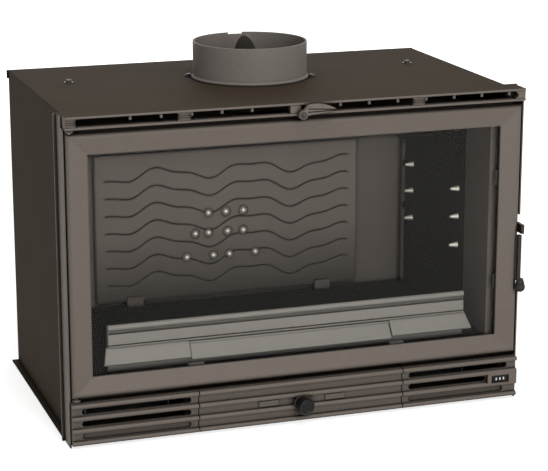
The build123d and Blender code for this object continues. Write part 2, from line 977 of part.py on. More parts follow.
# Firebox floor, with a stepped opening that the grate sits in
grate_half_width = grate_width / 2
grate_half_depth = grate_depth / 2
with BuildPart() as firebox_floor:
    slab((-firebox_half, firebox_half), (frame_back, firebox_rear), (hearth_under, hearth_height))
    slab(
        (-grate_half_width, grate_half_width),
        (grate_y - grate_half_depth, grate_y + grate_half_depth),
        (hearth_height - grate_thickness, hearth_height),
        Mode.SUBTRACT,
    )
    slab(
        (-grate_half_width + grate_ledge, grate_half_width - grate_ledge),
        (grate_y - grate_half_depth + grate_ledge, grate_y + grate_half_depth - grate_ledge),
        (hearth_under, hearth_height),
        Mode.SUBTRACT,
    )
firebox_floor.part.label = "firebox_floor"
export_step(firebox_floor.part, "parts/firebox_floor.step")

# Grate: a loose plate with two rows of slots
with BuildPart() as grate:
    slab(
        (-grate_half_width + seat_gap, grate_half_width - seat_gap),
        (grate_y - grate_half_depth + seat_gap, grate_y + grate_half_depth - seat_gap),
        (hearth_height - grate_thickness, hearth_height),
    )
    with BuildSketch(Plane.XY.offset(hearth_height)) as slots:
        with Locations((0, grate_y)):
            with GridLocations(grate_slot_pitch, grate_half_depth - grate_ledge, grate_slots, 2):
                SlotOverall(grate_slot_length, grate_slot_width, rotation=90)
    extrude(slots.sketch, amount=-grate_thickness, mode=Mode.SUBTRACT)
grate.part.label = "grate"
export_step(grate.part, "parts/grate.step")

# Firebox side walls, each with a sloping ledge for the baffle and the holes of its nozzles
baffle_rear_y = firebox_rear - seat_gap


def baffle_strip(x0, x1, top_offset, thickness):
    """Adds a strip from x0 to x1 that follows the baffle's slope, its top at top_offset."""
    with BuildSketch(side_view(x0)) as strip:
        with BuildLine():
            Polyline(
                (baffle_rear_y, baffle_rear_height + top_offset),
                (baffle_front_y, baffle_front_height + top_offset),
                (baffle_front_y, baffle_front_height + top_offset - thickness),
                (baffle_rear_y, baffle_rear_height + top_offset - thickness),
                close=True,
            )
        make_face()
    extrude(strip.sketch, amount=x1 - x0)


for side, hand in ((-1, "left"), (1, "right")):
    with BuildPart() as firebox_side:
        slab(
            (side * firebox_half, side * (firebox_half + firebox_wall)),
            (wall_start, firebox_back),
            (hearth_under, firebox_top_height),
        )
        ledge_x = sorted((side * (firebox_half - ledge_size), side * firebox_half))
        baffle_strip(ledge_x[0], ledge_x[1], 0, ledge_size)
        for nozzle_y in side_nozzle_ys:
            for height in side_nozzle_heights:
                rod(
                    (side * firebox_half, nozzle_y, height),
                    (side, 0, 0),
                    nozzle_shank_radius + press_clearance,
                    firebox_wall,
                    Mode.SUBTRACT,
                )
    firebox_side.part.label = f"{hand}_firebox_wall"
    export_step(firebox_side.part, f"parts/{hand}_firebox_wall.step")

with BuildPart() as firebox_rear_wall:
    slab((-firebox_half, firebox_half), (firebox_rear, firebox_back), (hearth_under, firebox_top_height))
firebox_rear_wall.part.label = "firebox_rear_wall"
export_step(firebox_rear_wall.part, "parts/firebox_rear_wall.step")

# Firebox roof, with the flue opening that the collar stands over
roof_half = firebox_half + firebox_wall
with BuildPart() as firebox_roof:
    slab((-roof_half, roof_half), (frame_back, firebox_back), (firebox_top_height, roof_top))
    rod((0, 0, firebox_top_height), (0, 0, 1), collar_inner_radius, firebox_top_thickness, Mode.SUBTRACT)
firebox_roof.part.label = "firebox_roof"
export_step(firebox_roof.part, "parts/firebox_roof.step")

# Firebox legs: four angles between the base plate and the hearth
with BuildPart() as firebox_legs:
    for side in (-1, 1):
        for leg_x, leg_y in ((front_leg_x, frame_back), (rear_leg_x, firebox_rear - leg_size)):
            slab(
                (side * leg_x, side * (leg_x + leg_sheet)),
                (leg_y, leg_y + leg_size),
                (base_thickness, hearth_under),
            )
            slab(
                (side * leg_x, side * (leg_x + leg_size)),
                (leg_y, leg_y + leg_sheet),
                (base_thickness, hearth_under),
            )
firebox_legs.part.label = "firebox_legs"
export_step(firebox_legs.part, "parts/firebox_legs.step")

# Baffle: a plate that slopes up towards the front, on the ledges of the side walls
with BuildPart() as baffle_plate:
    baffle_strip(-firebox_half + seat_gap, firebox_half - seat_gap, baffle_thickness, baffle_thickness)
baffle_plate.part.label = "baffle_plate"
export_step(baffle_plate.part, "parts/baffle_plate.step")

# Fireback: a cast plate with a raised border and a hole for each nozzle
fireback_half = fireback_width / 2
nozzle_places = [(x, height) for height, row in nozzle_rows for x in row]
with BuildPart() as fireback:
    slab((-fireback_half, fireback_half), (fireback_front, firebox_rear), (fireback_bottom, fireback_top))
    chamfer(fireback.faces().sort_by(Axis.Y)[0].edges(), fireback_border)
    for x, height in nozzle_places:
        rod(
            (x, fireback_front, height),
            (0, 1, 0),
            nozzle_shank_radius + press_clearance,
            fireback_thickness,
            Mode.SUBTRACT,
        )
fireback.part.label = "fireback"
export_step(fireback.part, "parts/fireback.step")

# Fireback clips: each stands on the hearth, carries the fireback and laps over its foot
with BuildPart() as fireback_clips:
    for side in (-1, 1):
        clip_span = (side * clip_x - clip_width / 2, side * clip_x + clip_width / 2)
        slab(clip_span, (fireback_front, firebox_rear), (hearth_height, fireback_bottom))
        slab(
            clip_span,
            (fireback_front - clip_lip, fireback_front),
            (hearth_height, hearth_height + clip_height),
        )
fireback_clips.part.label = "fireback_clips"
export_step(fireback_clips.part, "parts/fireback_clips.step")

# Rear nozzles: domed heads on the fireback, each on a shank through it
dome_radius = (nozzle_radius**2 + nozzle_crown**2) / (2 * nozzle_crown)
with BuildPart() as rear_nozzles:
    for x, height in nozzle_places:
        with BuildSketch(Plane.YZ.offset(x)) as dome:
            with BuildLine():
                RadiusArc(
                    (fireback_front, height + nozzle_radius),
                    (fireback_front - nozzle_crown, height),
                    -dome_radius,
                )
                Polyline(
                    (fireback_front - nozzle_crown, height),
                    (firebox_rear, height),
                    (firebox_rear, height + nozzle_shank_radius),
                    (fireback_front, height + nozzle_shank_radius),
                    (fireback_front, height + nozzle_radius),
                )
            make_face()
        revolve(dome.sketch, axis=Axis((x, 0, height), (0, 1, 0)))
rear_nozzles.part.label = "rear_nozzles"
export_step(rear_nozzles.part, "parts/rear_nozzles.step")

# Side nozzles: short cones that point into the firebox from both side walls
with BuildPart() as side_nozzles:
    for side in (-1, 1):
        for nozzle_y in side_nozzle_ys:
            for height in side_nozzle_heights:
                with BuildSketch(front_view(nozzle_y)) as cone:
                    with BuildLine():
                        Polyline(
                            (side * (firebox_half + firebox_wall), height),
                            (side * (firebox_half + firebox_wall), height + nozzle_shank_radius),
                            (side * firebox_half, height + nozzle_shank_radius),
                            (side * firebox_half, height + side_nozzle_root),
                            (side * (firebox_half - side_nozzle_length), height + side_nozzle_tip),
                            (side * (firebox_half - side_nozzle_length), height),
                            close=True,
                        )
                    make_face()
                revolve(cone.sketch, axis=Axis((0, nozzle_y, height), (1, 0, 0)))
side_nozzles.part.label = "side_nozzles"
export_step(side_nozzles.part, "parts/side_nozzles.step")

# Corner strips: notched bars that close the firebox's rear corners
for side, hand in ((-1, "left"), (1, "right")):
    with BuildPart() as corner_strip:
        slab(
            (side * (firebox_half - strip_width), side * firebox_half),
            (firebox_rear - strip_depth, firebox_rear),
            (hearth_height, strip_top),
        )
        for height in strip_notch_heights:
            slab(
                (side * (firebox_half - strip_width), side * firebox_half),
                (firebox_rear - strip_depth, firebox_rear - strip_depth + strip_notch_depth),
                (height - strip_notch_height / 2, height + strip_notch_height / 2),
                Mode.SUBTRACT,
            )
    corner_strip.part.label = f"{hand}_corner_strip"
    export_step(corner_strip.part, f"parts/{hand}_corner_strip.step")

# Log guard: a moulded rail that stands on the hearth, with a sloping shelf in three lengths
shelf_angle = degrees(atan2(guard_shelf_top - guard_shelf_bottom, guard_shelf_reach))
shelf_length = hypot(guard_shelf_top - guard_shelf_bottom, guard_shelf_reach)
shelf_normal = (0, -sin(radians(shelf_angle)), cos(radians(shelf_angle)))
wing_shift = guard_shelf_plate
with BuildPart() as log_guard:
    slab(
        (-guard_half, guard_half),
        (guard_front, guard_front + guard_plate),
        (hearth_height, guard_roll_height),
    )
    slab(
        (-guard_half, guard_half),
        (guard_front - guard_band_proud, guard_front),
        (guard_band_bottom, guard_band_top),
    )
    rod(
        (-guard_half, guard_front - guard_roll_out + guard_plate / 2, guard_roll_height),
        (1, 0, 0),
        guard_roll_radius,
        2 * guard_half,
    )
    for height in guard_reed_heights:
        rod((-guard_half, guard_front, height), (1, 0, 0), guard_reed_radius, 2 * guard_half)
    with BuildSketch(
        Plane(origin=(0, guard_front, guard_shelf_top), x_dir=(1, 0, 0), z_dir=shelf_normal)
    ) as shelf:
        with Locations((0, -shelf_length / 2)):
            Rectangle(2 * guard_split, shelf_length)
    extrude(shelf.sketch, amount=-guard_shelf_plate)
    for side in (-1, 1):
        with BuildSketch(
            Plane(
                origin=(0, guard_front, guard_shelf_top + wing_shift), x_dir=(1, 0, 0), z_dir=shelf_normal
            )
        ) as wing:
            with BuildLine():
                Polyline(
                    (side * (guard_split + guard_wing_gap), 0),
                    (side * (guard_half + guard_wing_out_top), 0),
                    (side * (guard_half + guard_wing_out_bottom), -shelf_length),
                    (side * (guard_split + guard_wing_gap), -shelf_length),
                    close=True,
                )
            make_face()
        extrude(wing.sketch, amount=guard_shelf_plate, dir=tuple(-n for n in shelf_normal))
log_guard.part.label = "log_guard"
export_step(log_guard.part, "parts/log_guard.step")

# Flue collar: a tube from the firebox roof up through the top plate, flared where it meets
# the plate, with two ears for its screws and the bearing holes of the damper shaft
ear_reach = collar_outer_radius + collar_flare + screw_head_radius + seat_gap
ear_places = [
    (ear_reach * cos(radians(collar_ear_angle + turn)), ear_reach * sin(radians(collar_ear_angle + turn)))
    for turn in (0, 180)
]
with BuildPart() as flue_collar:
    with BuildSketch(front_view(0)) as collar_profile:
        with BuildLine():
            Polyline(
                (collar_inner_radius, roof_top),
                (collar_outer_radius, roof_top),
                (collar_outer_radius, casing_height),
                (collar_outer_radius + collar_flare, casing_height),
                (collar_outer_radius + collar_flare, casing_height + collar_ear_thickness),
                (collar_outer_radius, casing_height + 2 * collar_flare),
                (collar_outer_radius, collar_top),
                (collar_inner_radius, collar_top),
                close=True,
            )
        make_face()
    revolve(collar_profile.sketch, axis=Axis.Z)
    with BuildSketch(Plane.XY.offset(casing_height)) as ears:
        with Locations(*ear_places):
            Circle(collar_ear_radius)
        Circle(collar_inner_radius + collar_wall / 2, mode=Mode.SUBTRACT)
    extrude(ears.sketch, amount=collar_ear_thickness)
    with Locations((collar_notch_x, collar_inner_radius, collar_top)):
        Box(collar_notch_width, 4 * collar_wall, 2 * collar_notch_depth, mode=Mode.SUBTRACT)
    rod(
        (damper_x, -collar_outer_radius, damper_height),
        (0, 1, 0),
        damper_shaft_radius + running_clearance,
        2 * collar_outer_radius,
        Mode.SUBTRACT,
    )
    for ear_x, ear_y in ear_places:
        rod(
            (ear_x, ear_y, casing_height),
            (0, 0, 1),
            screw_radius + press_clearance,
            collar_ear_thickness,
            Mode.SUBTRACT,
        )
flue_collar.part.label = "flue_collar"
export_step(flue_collar.part, "parts/flue_collar.step")

# Collar screws, one in each ear
with BuildPart() as collar_screws:
    for ear_x, ear_y in ear_places:
        rod((ear_x, ear_y, casing_height), (0, 0, 1), screw_radius, collar_ear_thickness)
        rod(
            (ear_x, ear_y, casing_height + collar_ear_thickness),
            (0, 0, 1),
            screw_head_radius,
            screw_head_height,
        )
collar_screws.part.label = "collar_screws"
export_step(collar_screws.part, "parts/collar_screws.step")

# Damper: the shaft from the lever at the front to the far side of the collar
with BuildPart() as damper_shaft:
    rod(
        (damper_x, lever_front, damper_height),
        (0, 1, 0),
        damper_shaft_radius,
        collar_outer_radius + shaft_tail - lever_front,
    )
    rod((damper_x, lever_front, damper_height), (0, -1, 0), shaft_button_radius, shaft_button_length)
    fillet(damper_shaft.edges().group_by(Axis.Y)[0], shaft_button_length - press_clearance)
damper_shaft.part.label = "damper_shaft"
export_step(damper_shaft.part, "parts/damper_shaft.step")

# Damper flap: a disc on a sleeve, upright when the lever points to the right
with BuildPart() as damper_flap:
    with BuildSketch(side_view(damper_x - flap_thickness / 2)) as disc:
        with Locations((0, flap_z)):
            Circle(flap_radius)
    extrude(disc.sketch, amount=flap_thickness)
    rod((damper_x, -flap_hub_length / 2, damper_height), (0, 1, 0), flap_hub_radius, flap_hub_length)
    rod(
        (damper_x, -flap_radius, damper_height),
        (0, 1, 0),
        damper_shaft_radius + press_clearance,
        2 * flap_radius,
        Mode.SUBTRACT,
    )
damper_flap.part.label = "damper_flap"
export_step(damper_flap.part, "parts/damper_flap.step")

# Damper lever: a leaf with two grooves along it, on the front end of the shaft


def from_shaft(x, z):
    """The X and Z of a point at x and z from the damper shaft's axis."""
    return damper_x + x, damper_height + z


with BuildPart() as damper_lever:
    with BuildSketch(front_view(lever_back)) as leaf:
        with BuildLine():
            Polyline(
                from_shaft(0, -lever_hub_radius),
                from_shaft(lever_root, lever_root_bottom),
                from_shaft(lever_reach, lever_tip - lever_tip_width / 2),
                from_shaft(lever_reach, lever_tip + lever_tip_width / 2),
            )
            ThreePointArc(
                from_shaft(lever_reach, lever_tip + lever_tip_width / 2),
                from_shaft(lever_belly, lever_belly_top),
                from_shaft(lever_root, lever_root_top),
            )
            Polyline(
                from_shaft(lever_root, lever_root_top),
                from_shaft(0, lever_hub_radius),
                from_shaft(0, -lever_hub_radius),
            )
        make_face()
        with Locations(from_shaft(0, 0)):
            Circle(lever_hub_radius)
    extrude(leaf.sketch, amount=lever_thickness)
    for share in (1 / 3, 2 / 3):
        with BuildSketch(front_view(lever_front)) as groove:
            with BuildLine():
                Line(
                    from_shaft(lever_root, lever_root_bottom + share * (lever_root_top - lever_root_bottom)),
                    from_shaft(lever_reach, lever_tip + (share - 0.5) * lever_tip_width),
                )
            trace(line_width=lever_groove)
        extrude(groove.sketch, amount=-lever_groove_depth, mode=Mode.SUBTRACT)
    rod(
        (damper_x, lever_front, damper_height),
        (0, 1, 0),
        damper_shaft_radius + press_clearance,
        lever_thickness,
        Mode.SUBTRACT,
    )
damper_lever.part.label = "damper_lever"
export_step(damper_lever.part, "parts/damper_lever.step")

# Door frame: a cast frame with a rounded rim, a face that falls towards the glass, a rebate
# for the glass and a groove for the rope seal
seal_half = door_half - seal_inset
opening_height = glass_opening_top - glass_opening_bottom
opening_middle = (glass_opening_top + glass_opening_bottom) / 2
door_middle = (door_top + door_bottom) / 2
door_height = door_top - door_bottom


def seal_ring(y, depth, mode=Mode.ADD):
    """Adds or cuts the ring of the door seal, from y towards the back."""
    with BuildSketch(front_view(y)) as ring:
        with Locations((0, door_middle)):
            RectangleRounded(
                2 * seal_half + seal_width, door_height - 2 * seal_inset + seal_width, seal_width
            )
            RectangleRounded(
                2 * seal_half - seal_width,
                door_height - 2 * seal_inset - seal_width,
                seal_width / 2,
                mode=Mode.SUBTRACT,
            )
    extrude(ring.sketch, amount=-depth, mode=mode)


# Places of the clips that hold the glass: two on each side of the opening
clip_places = []
for side in (-1, 1):
    for share in (0.25, 0.75):
        clip_places.append((side, 0, 0, glass_opening_bottom + share * opening_height))
        clip_places.append((0, side, (share - 0.5) * 2 * glass_half, 0))


def on_pane_edge(place, reach):
    """The X and Z of a point reach outside the glass opening at one clip's place."""
    across, up, x, z = place
    if across:
        return across * (glass_half + reach), z
    return x, (glass_opening_top + reach if up > 0 else glass_opening_bottom - reach)


clip_screw_reach = rebate_overlap + clip_screw_margin

with BuildPart() as door_frame:
    slab((-door_half, door_half), (door_front, door_back), (door_bottom, door_top))
    fillet(door_frame.faces().sort_by(Axis.Y)[0].edges(), door_edge_radius)
    with BuildSketch(front_view(door_front)) as bezel_outer:
        with Locations((0, door_middle)):
            Rectangle(2 * (door_half - door_edge_radius), door_height - 2 * door_edge_radius)
    with BuildSketch(front_view(door_front + bezel_drop)) as bezel_inner:
        with Locations((0, opening_middle)):
            Rectangle(2 * glass_half, opening_height)
    loft([bezel_outer.sketch.face(), bezel_inner.sketch.face()], mode=Mode.SUBTRACT)
    slab(
        (-glass_half, glass_half),
        (door_front, door_back),
        (glass_opening_bottom, glass_opening_top),
        Mode.SUBTRACT,
    )
    slab(
        (-rebate_half, rebate_half),
        (bezel_back, door_back),
        (glass_opening_bottom - rebate_overlap, glass_opening_top + rebate_overlap),
        Mode.SUBTRACT,
    )
    seal_ring(door_back - seal_groove, seal_groove, Mode.SUBTRACT)
    for place in clip_places:
        screw_x, screw_z = on_pane_edge(place, clip_screw_reach)
        rod(
            (screw_x, door_back, screw_z),
            (0, -1, 0),
            clip_screw_radius + press_clearance,
            clip_screw_depth,
            Mode.SUBTRACT,
        )
    for end, direction in ((door_bottom, 1), (door_top, -1)):
        rod(
            (-hinge_x, hinge_y, end),
            (0, 0, direction),
            hinge_pin_radius + running_clearance,
            hinge_pin_depth + seat_gap,
            Mode.SUBTRACT,
        )
    rod(
        (door_half, handle_pivot_y, handle_pivot_height),
        (-1, 0, 0),
        handle_shaft_radius + running_clearance,
        handle_shaft_length + seat_gap,
        Mode.SUBTRACT,
    )
door_frame.part.label = "door_frame"
export_step(door_frame.part, "parts/door_frame.step")

# Door glass and the flat seal between it and the frame
pane_half = rebate_half - glass_edge_gap
pane_bottom = glass_opening_bottom - rebate_overlap + glass_edge_gap
pane_top = glass_opening_top + rebate_overlap - glass_edge_gap
with BuildPart() as door_glass:
    slab((-pane_half, pane_half), (glass_front, glass_back), (pane_bottom, pane_top))
door_glass.part.label = "door_glass"
export_step(door_glass.part, "parts/door_glass.step")

with BuildPart() as glass_seal:
    slab((-pane_half, pane_half), (bezel_back, glass_front), (pane_bottom, pane_top))
    slab(
        (-glass_half, glass_half),
        (bezel_back, glass_front),
        (glass_opening_bottom, glass_opening_top),
        Mode.SUBTRACT,
    )
glass_seal.part.label = "glass_seal"
export_step(glass_seal.part, "parts/glass_seal.step")

# Glass clips and their screws: two on each side of the pane
def clip_plate(place, inner, outer, y0, y1):
    """Adds one plate of a clip, between two reaches from the edge of the glass opening."""
    inner_x, inner_z = on_pane_edge(place, inner)
    outer_x, outer_z = on_pane_edge(place, outer)
    half_x = 0 if place[0] else clip_length / 2
    half_z = clip_length / 2 if place[0] else 0
    xs = sorted((inner_x, outer_x))
    zs = sorted((inner_z, outer_z))
    slab((xs[0] - half_x, xs[1] + half_x), (y0, y1), (zs[0] - half_z, zs[1] + half_z))


with BuildPart() as glass_clips:
    for place in clip_places:
        clip_plate(
            place,
            -glass_edge_gap,
            clip_screw_reach + clip_screw_margin - seat_gap,
            door_back,
            door_back + clip_sheet,
        )
        clip_plate(place, -glass_edge_gap, clip_foot - glass_edge_gap, glass_back, door_back)
        screw_x, screw_z = on_pane_edge(place, clip_screw_reach)
        rod(
            (screw_x, door_back, screw_z),
            (0, 1, 0),
            clip_screw_radius + press_clearance,
            clip_sheet,
            Mode.SUBTRACT,
        )
glass_clips.part.label = "glass_clips"
export_step(glass_clips.part, "parts/glass_clips.step")

with BuildPart() as glass_screws:
    for place in clip_places:
        screw_x, screw_z = on_pane_edge(place, clip_screw_reach)
        rod(
            (screw_x, door_back + clip_sheet, screw_z),
            (0, -1, 0),
            clip_screw_radius,
            clip_sheet + clip_screw_depth - seat_gap,
        )
        rod(
            (screw_x, door_back + clip_sheet, screw_z),
            (0, 1, 0),
            clip_screw_head,
            clip_screw_head_height,
        )
glass_screws.part.label = "glass_screws"
export_step(glass_screws.part, "parts/glass_screws.step")

# Door seal: a rope pressed into the groove, just clear of the front frame
with BuildPart() as door_seal:
    seal_ring(door_back - seal_groove, frame_front - seat_gap - door_back + seal_groove)
    fillet(door_seal.faces().sort_by(Axis.Y)[-1].edges(), seal_corner)
door_seal.part.label = "door_seal"
export_step(door_seal.part, "parts/door_seal.step")

# Hinges: a bracket on the front frame above and below the door, each with its pin
for hand, bracket_bottom, pin_end, into_door in (
    ("upper", door_top + 2 * seat_gap, door_top, -1),
    ("lower", door_bottom - seat_gap - hinge_bracket_thickness, door_bottom, 1),
):
    with BuildPart() as hinge_bracket:
        with BuildSketch(Plane.XY.offset(bracket_bottom)) as bracket_outline:
            with Locations((-hinge_x, hinge_y)):
                Circle(hinge_bracket_radius)
            with Locations((-hinge_x, (hinge_y + frame_front) / 2)):
                Rectangle(2 * hinge_bracket_radius, frame_front - hinge_y)
        extrude(bracket_outline.sketch, amount=hinge_bracket_thickness)
        rod(
            (-hinge_x, hinge_y, bracket_bottom),
            (0, 0, 1),
            hinge_pin_radius + press_clearance,
            hinge_bracket_thickness,
            Mode.SUBTRACT,
        )
    hinge_bracket.part.label = f"{hand}_hinge_bracket"
    export_step(hinge_bracket.part, f"parts/{hand}_hinge_bracket.step")

    far_face = bracket_bottom + hinge_bracket_thickness if into_door < 0 else bracket_bottom
    with BuildPart() as hinge_pin:
        rod(
            (-hinge_x, hinge_y, far_face),
            (0, 0, into_door),
            hinge_pin_radius,
            abs(pin_end - far_face) + hinge_pin_depth,
        )
    hinge_pin.part.label = f"{hand}_hinge_pin"
    export_step(hinge_pin.part, f"parts/{hand}_hinge_pin.step")

# Handle shaft, across the door's right stile
with BuildPart() as handle_shaft:
    rod(
        (handle_plate_x + handle_plate, handle_pivot_y, handle_pivot_height),
        (-1, 0, 0),
        handle_shaft_radius,
        handle_plate + handle_plate_gap + handle_shaft_length,
    )
handle_shaft.part.label = "handle_shaft"
export_step(handle_shaft.part, "parts/handle_shaft.step")

# Handle lever: a plate outside the door's edge with the latch hook behind its hub, and an
# arm that hangs down in front of the door's rounded rim
arm_back = door_front - handle_arm_proud
arm_front = arm_back - handle_arm_depth
arm_right = handle_plate_x + handle_arm_proud
hook_top = keeper_z - keeper_pin_radius - keeper_pin_gap
nose_front = keeper_y + keeper_pin_radius + keeper_pin_gap
with BuildPart() as handle_lever:
    with BuildSketch(side_view(handle_plate_x)) as plate:
        with Locations((handle_pivot_y, handle_pivot_height)):
            Circle(handle_hub_radius)
        with Locations(((arm_front + handle_pivot_y) / 2, handle_pivot_height)):
            Rectangle(handle_pivot_y - arm_front, 2 * handle_hub_radius - handle_arm_proud)
        with BuildLine():
            Polyline(
                (handle_pivot_y, hook_top - hook_thickness),
                (nose_front + hook_nose, hook_top - hook_thickness),
                (nose_front + hook_nose, keeper_z),
                (nose_front, keeper_z),
                (nose_front, hook_top),
                (handle_pivot_y, hook_top),
                close=True,
            )
        make_face()
    extrude(plate.sketch, amount=handle_plate)
    slab(
        (arm_right - handle_arm_width, arm_right),
        (arm_front, arm_back),
        (handle_arm_bottom, handle_pivot_height - handle_arm_clear),
    )
    rod(
        (handle_plate_x, handle_pivot_y, handle_pivot_height),
        (1, 0, 0),
        handle_shaft_radius + press_clearance,
        handle_plate,
        Mode.SUBTRACT,
    )
handle_lever.part.label = "handle_lever"
export_step(handle_lever.part, "parts/handle_lever.step")

# Handle grip: a drop-shaped knob round the foot of the arm
grip_y = (arm_front + arm_back) / 2 - handle_arm_proud
with BuildPart() as handle_grip:
    with Locations((grip_x, grip_y, grip_bottom + grip_radius)):
        Sphere(grip_radius)
    with Locations((grip_x, grip_y, grip_top - grip_taper / 2)):
        Cone(grip_taper_radius, grip_neck_radius, grip_taper)
    slab(
        (arm_right - handle_arm_width - press_clearance, arm_right + press_clearance),
        (arm_front - press_clearance, arm_back + press_clearance),
        (handle_arm_bottom, grip_top),
        Mode.SUBTRACT,
    )
handle_grip.part.label = "handle_grip"
export_step(handle_grip.part, "parts/handle_grip.step")

# Latch keeper: a block on the front frame with the pin that the hook holds
with BuildPart() as latch_keeper:
    slab(
        (door_half - keeper_block_width, door_half),
        (keeper_y - keeper_pin_radius, frame_front),
        (keeper_z - keeper_block_height / 2, keeper_z + keeper_block_height / 2),
    )
    rod(
        (door_half, keeper_y, keeper_z),
        (1, 0, 0),
        keeper_pin_radius,
        handle_plate_gap + handle_plate,
    )
latch_keeper.part.label = "latch_keeper"
export_step(latch_keeper.part, "parts/latch_keeper.step")

# Blowers: behind each grille, a scroll housing, a drum of blades on a shaft, and a motor
for side, hand in ((-1, "left"), (1, "right")):
    with BuildPart() as fan_housing:
        for plate_x in (fan_inner_x, fan_outer_x - fan_plate):
            slab(
                (side * plate_x, side * (plate_x + fan_plate)),
                (fan_y - fan_half_depth, fan_y + fan_half_depth),
                (base_thickness, fan_outlet_height),
            )
        with BuildSketch(side_view(side * fan_inner_x)) as scroll:
            with Locations((fan_y, fan_height)):
                Circle(scroll_outer)
                Circle(scroll_inner, mode=Mode.SUBTRACT)
            window_offset = (fan_tongue + scroll_outer) / 2
            for way in (-1, 1):
                with Locations((fan_y + way * window_offset, fan_height + scroll_outer / 2)):
                    Rectangle(scroll_outer, scroll_outer, mode=Mode.SUBTRACT)
        extrude(scroll.sketch, amount=side * fan_length)
        slab(
            (side * fan_inner_x, side * fan_outer_x),
            (fan_y - fan_half_depth, fan_y + fan_half_depth),
            (base_thickness, base_thickness + fan_plate),
        )
        rod(
            (side * fan_inner_x, fan_y, fan_height),
            (side, 0, 0),
            fan_shaft_radius + running_clearance,
            fan_length,
            Mode.SUBTRACT,
        )
    fan_housing.part.label = f"{hand}_fan_housing"
    export_step(fan_housing.part, f"parts/{hand}_fan_housing.step")

    drum_start = fan_inner_x + fan_plate + fan_end_gap
    drum_length = fan_length - 2 * (fan_plate + fan_end_gap)
    with BuildPart() as fan_impeller:
        for disc_x in (drum_start, drum_start + drum_length - fan_plate):
            rod((side * disc_x, fan_y, fan_height), (side, 0, 0), fan_radius, fan_plate)
        with BuildSketch(side_view(side * drum_start)) as blades:
            with Locations((fan_y, fan_height)):
                with PolarLocations(fan_radius - blade_width / 2 - blade_thickness, blade_count):
                    Rectangle(blade_width, blade_thickness, rotation=blade_pitch_angle)
        extrude(blades.sketch, amount=side * drum_length)
        rod(
            (side * (fan_inner_x - fan_shaft_tail), fan_y, fan_height),
            (side, 0, 0),
            fan_shaft_radius,
            fan_shaft_tail + fan_length + motor_bore_depth - seat_gap,
        )
    fan_impeller.part.label = f"{hand}_fan_impeller"
    export_step(fan_impeller.part, f"parts/{hand}_fan_impeller.step")

    with BuildPart() as fan_motor:
        rod((side * fan_outer_x, fan_y, fan_height), (side, 0, 0), motor_radius, motor_length)
        rod(
            (side * fan_outer_x, fan_y, fan_height),
            (side, 0, 0),
            fan_shaft_radius + running_clearance,
            motor_bore_depth,
            Mode.SUBTRACT,
        )
    fan_motor.part.label = f"{hand}_fan_motor"
    export_step(fan_motor.part, f"parts/{hand}_fan_motor.step")
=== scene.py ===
"""Fireplace insert: surfaces, finishes, light and camera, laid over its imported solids."""

import json
import math

import bmesh
import bpy
import numpy as np
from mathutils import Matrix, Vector

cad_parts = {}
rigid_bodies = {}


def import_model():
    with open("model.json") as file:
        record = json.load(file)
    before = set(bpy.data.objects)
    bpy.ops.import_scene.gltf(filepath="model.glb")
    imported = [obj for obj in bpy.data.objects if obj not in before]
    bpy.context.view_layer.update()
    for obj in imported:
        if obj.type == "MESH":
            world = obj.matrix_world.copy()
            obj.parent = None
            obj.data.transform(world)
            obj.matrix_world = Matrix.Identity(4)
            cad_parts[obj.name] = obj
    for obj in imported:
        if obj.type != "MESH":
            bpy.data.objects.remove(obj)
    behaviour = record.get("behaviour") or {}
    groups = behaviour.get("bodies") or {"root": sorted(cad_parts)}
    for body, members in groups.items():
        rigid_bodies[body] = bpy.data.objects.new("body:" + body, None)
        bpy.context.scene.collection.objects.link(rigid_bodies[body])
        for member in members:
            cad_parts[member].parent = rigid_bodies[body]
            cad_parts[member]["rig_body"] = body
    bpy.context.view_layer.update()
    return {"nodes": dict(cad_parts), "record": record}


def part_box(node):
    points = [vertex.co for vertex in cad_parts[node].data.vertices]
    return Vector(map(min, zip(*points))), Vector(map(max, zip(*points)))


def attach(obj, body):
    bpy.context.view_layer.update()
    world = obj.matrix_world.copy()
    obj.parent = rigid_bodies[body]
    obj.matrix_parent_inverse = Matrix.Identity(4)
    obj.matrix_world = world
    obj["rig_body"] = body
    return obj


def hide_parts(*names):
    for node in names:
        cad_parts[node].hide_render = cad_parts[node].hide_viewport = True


bl_info = {
    "name": "Fireplace insert",
    "version": (1, 0, 0),
    "blender": (4, 5, 0),
    "location": "3D view > Sidebar > Insert",
    "description": "Builds the looks of a wood-burning fireplace insert round its packed solids",
    "category": "Object",
}

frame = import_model()
NODES = frame["nodes"]
# a millimetre in metres, and the directions of X, Y and Z for someone who faces the door
MM = 0.001
RIGHT, BACK, UP = np.eye(3)


def low(name):
    """Lowest corner of a solid, as an array in metres."""
    return np.array(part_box(name)[0])


def high(name):
    """Highest corner of a solid, as an array in metres."""
    return np.array(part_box(name)[1])


# Sizes and colours that a user would change


class FinishSizes(bpy.types.PropertyGroup):
    """Colours of the paints and the size of their flecks"""

    front_paint: bpy.props.StringProperty(
        name="Front paint", description="sRGB colour of the paint on the cast front", default="#6a625b"
    )
    casing_paint: bpy.props.StringProperty(
        name="Casing paint", description="sRGB colour of the paint on the sheet casing", default="#3a3126"
    )
    firebox_paint: bpy.props.StringProperty(
        name="Firebox paint", description="sRGB colour of the firebox plates", default="#786f69"
    )
    fireback_paint: bpy.props.StringProperty(
        name="Fireback paint", description="sRGB colour of the cast fireback", default="#8a8179"
    )
    guard_paint: bpy.props.StringProperty(
        name="Log guard paint", description="sRGB colour of the log guard", default="#918d88"
    )
    paint_grain: bpy.props.FloatProperty(
        name="Paint grain", description="Width of the paint's flecks", default=0.0009, unit="LENGTH"
    )


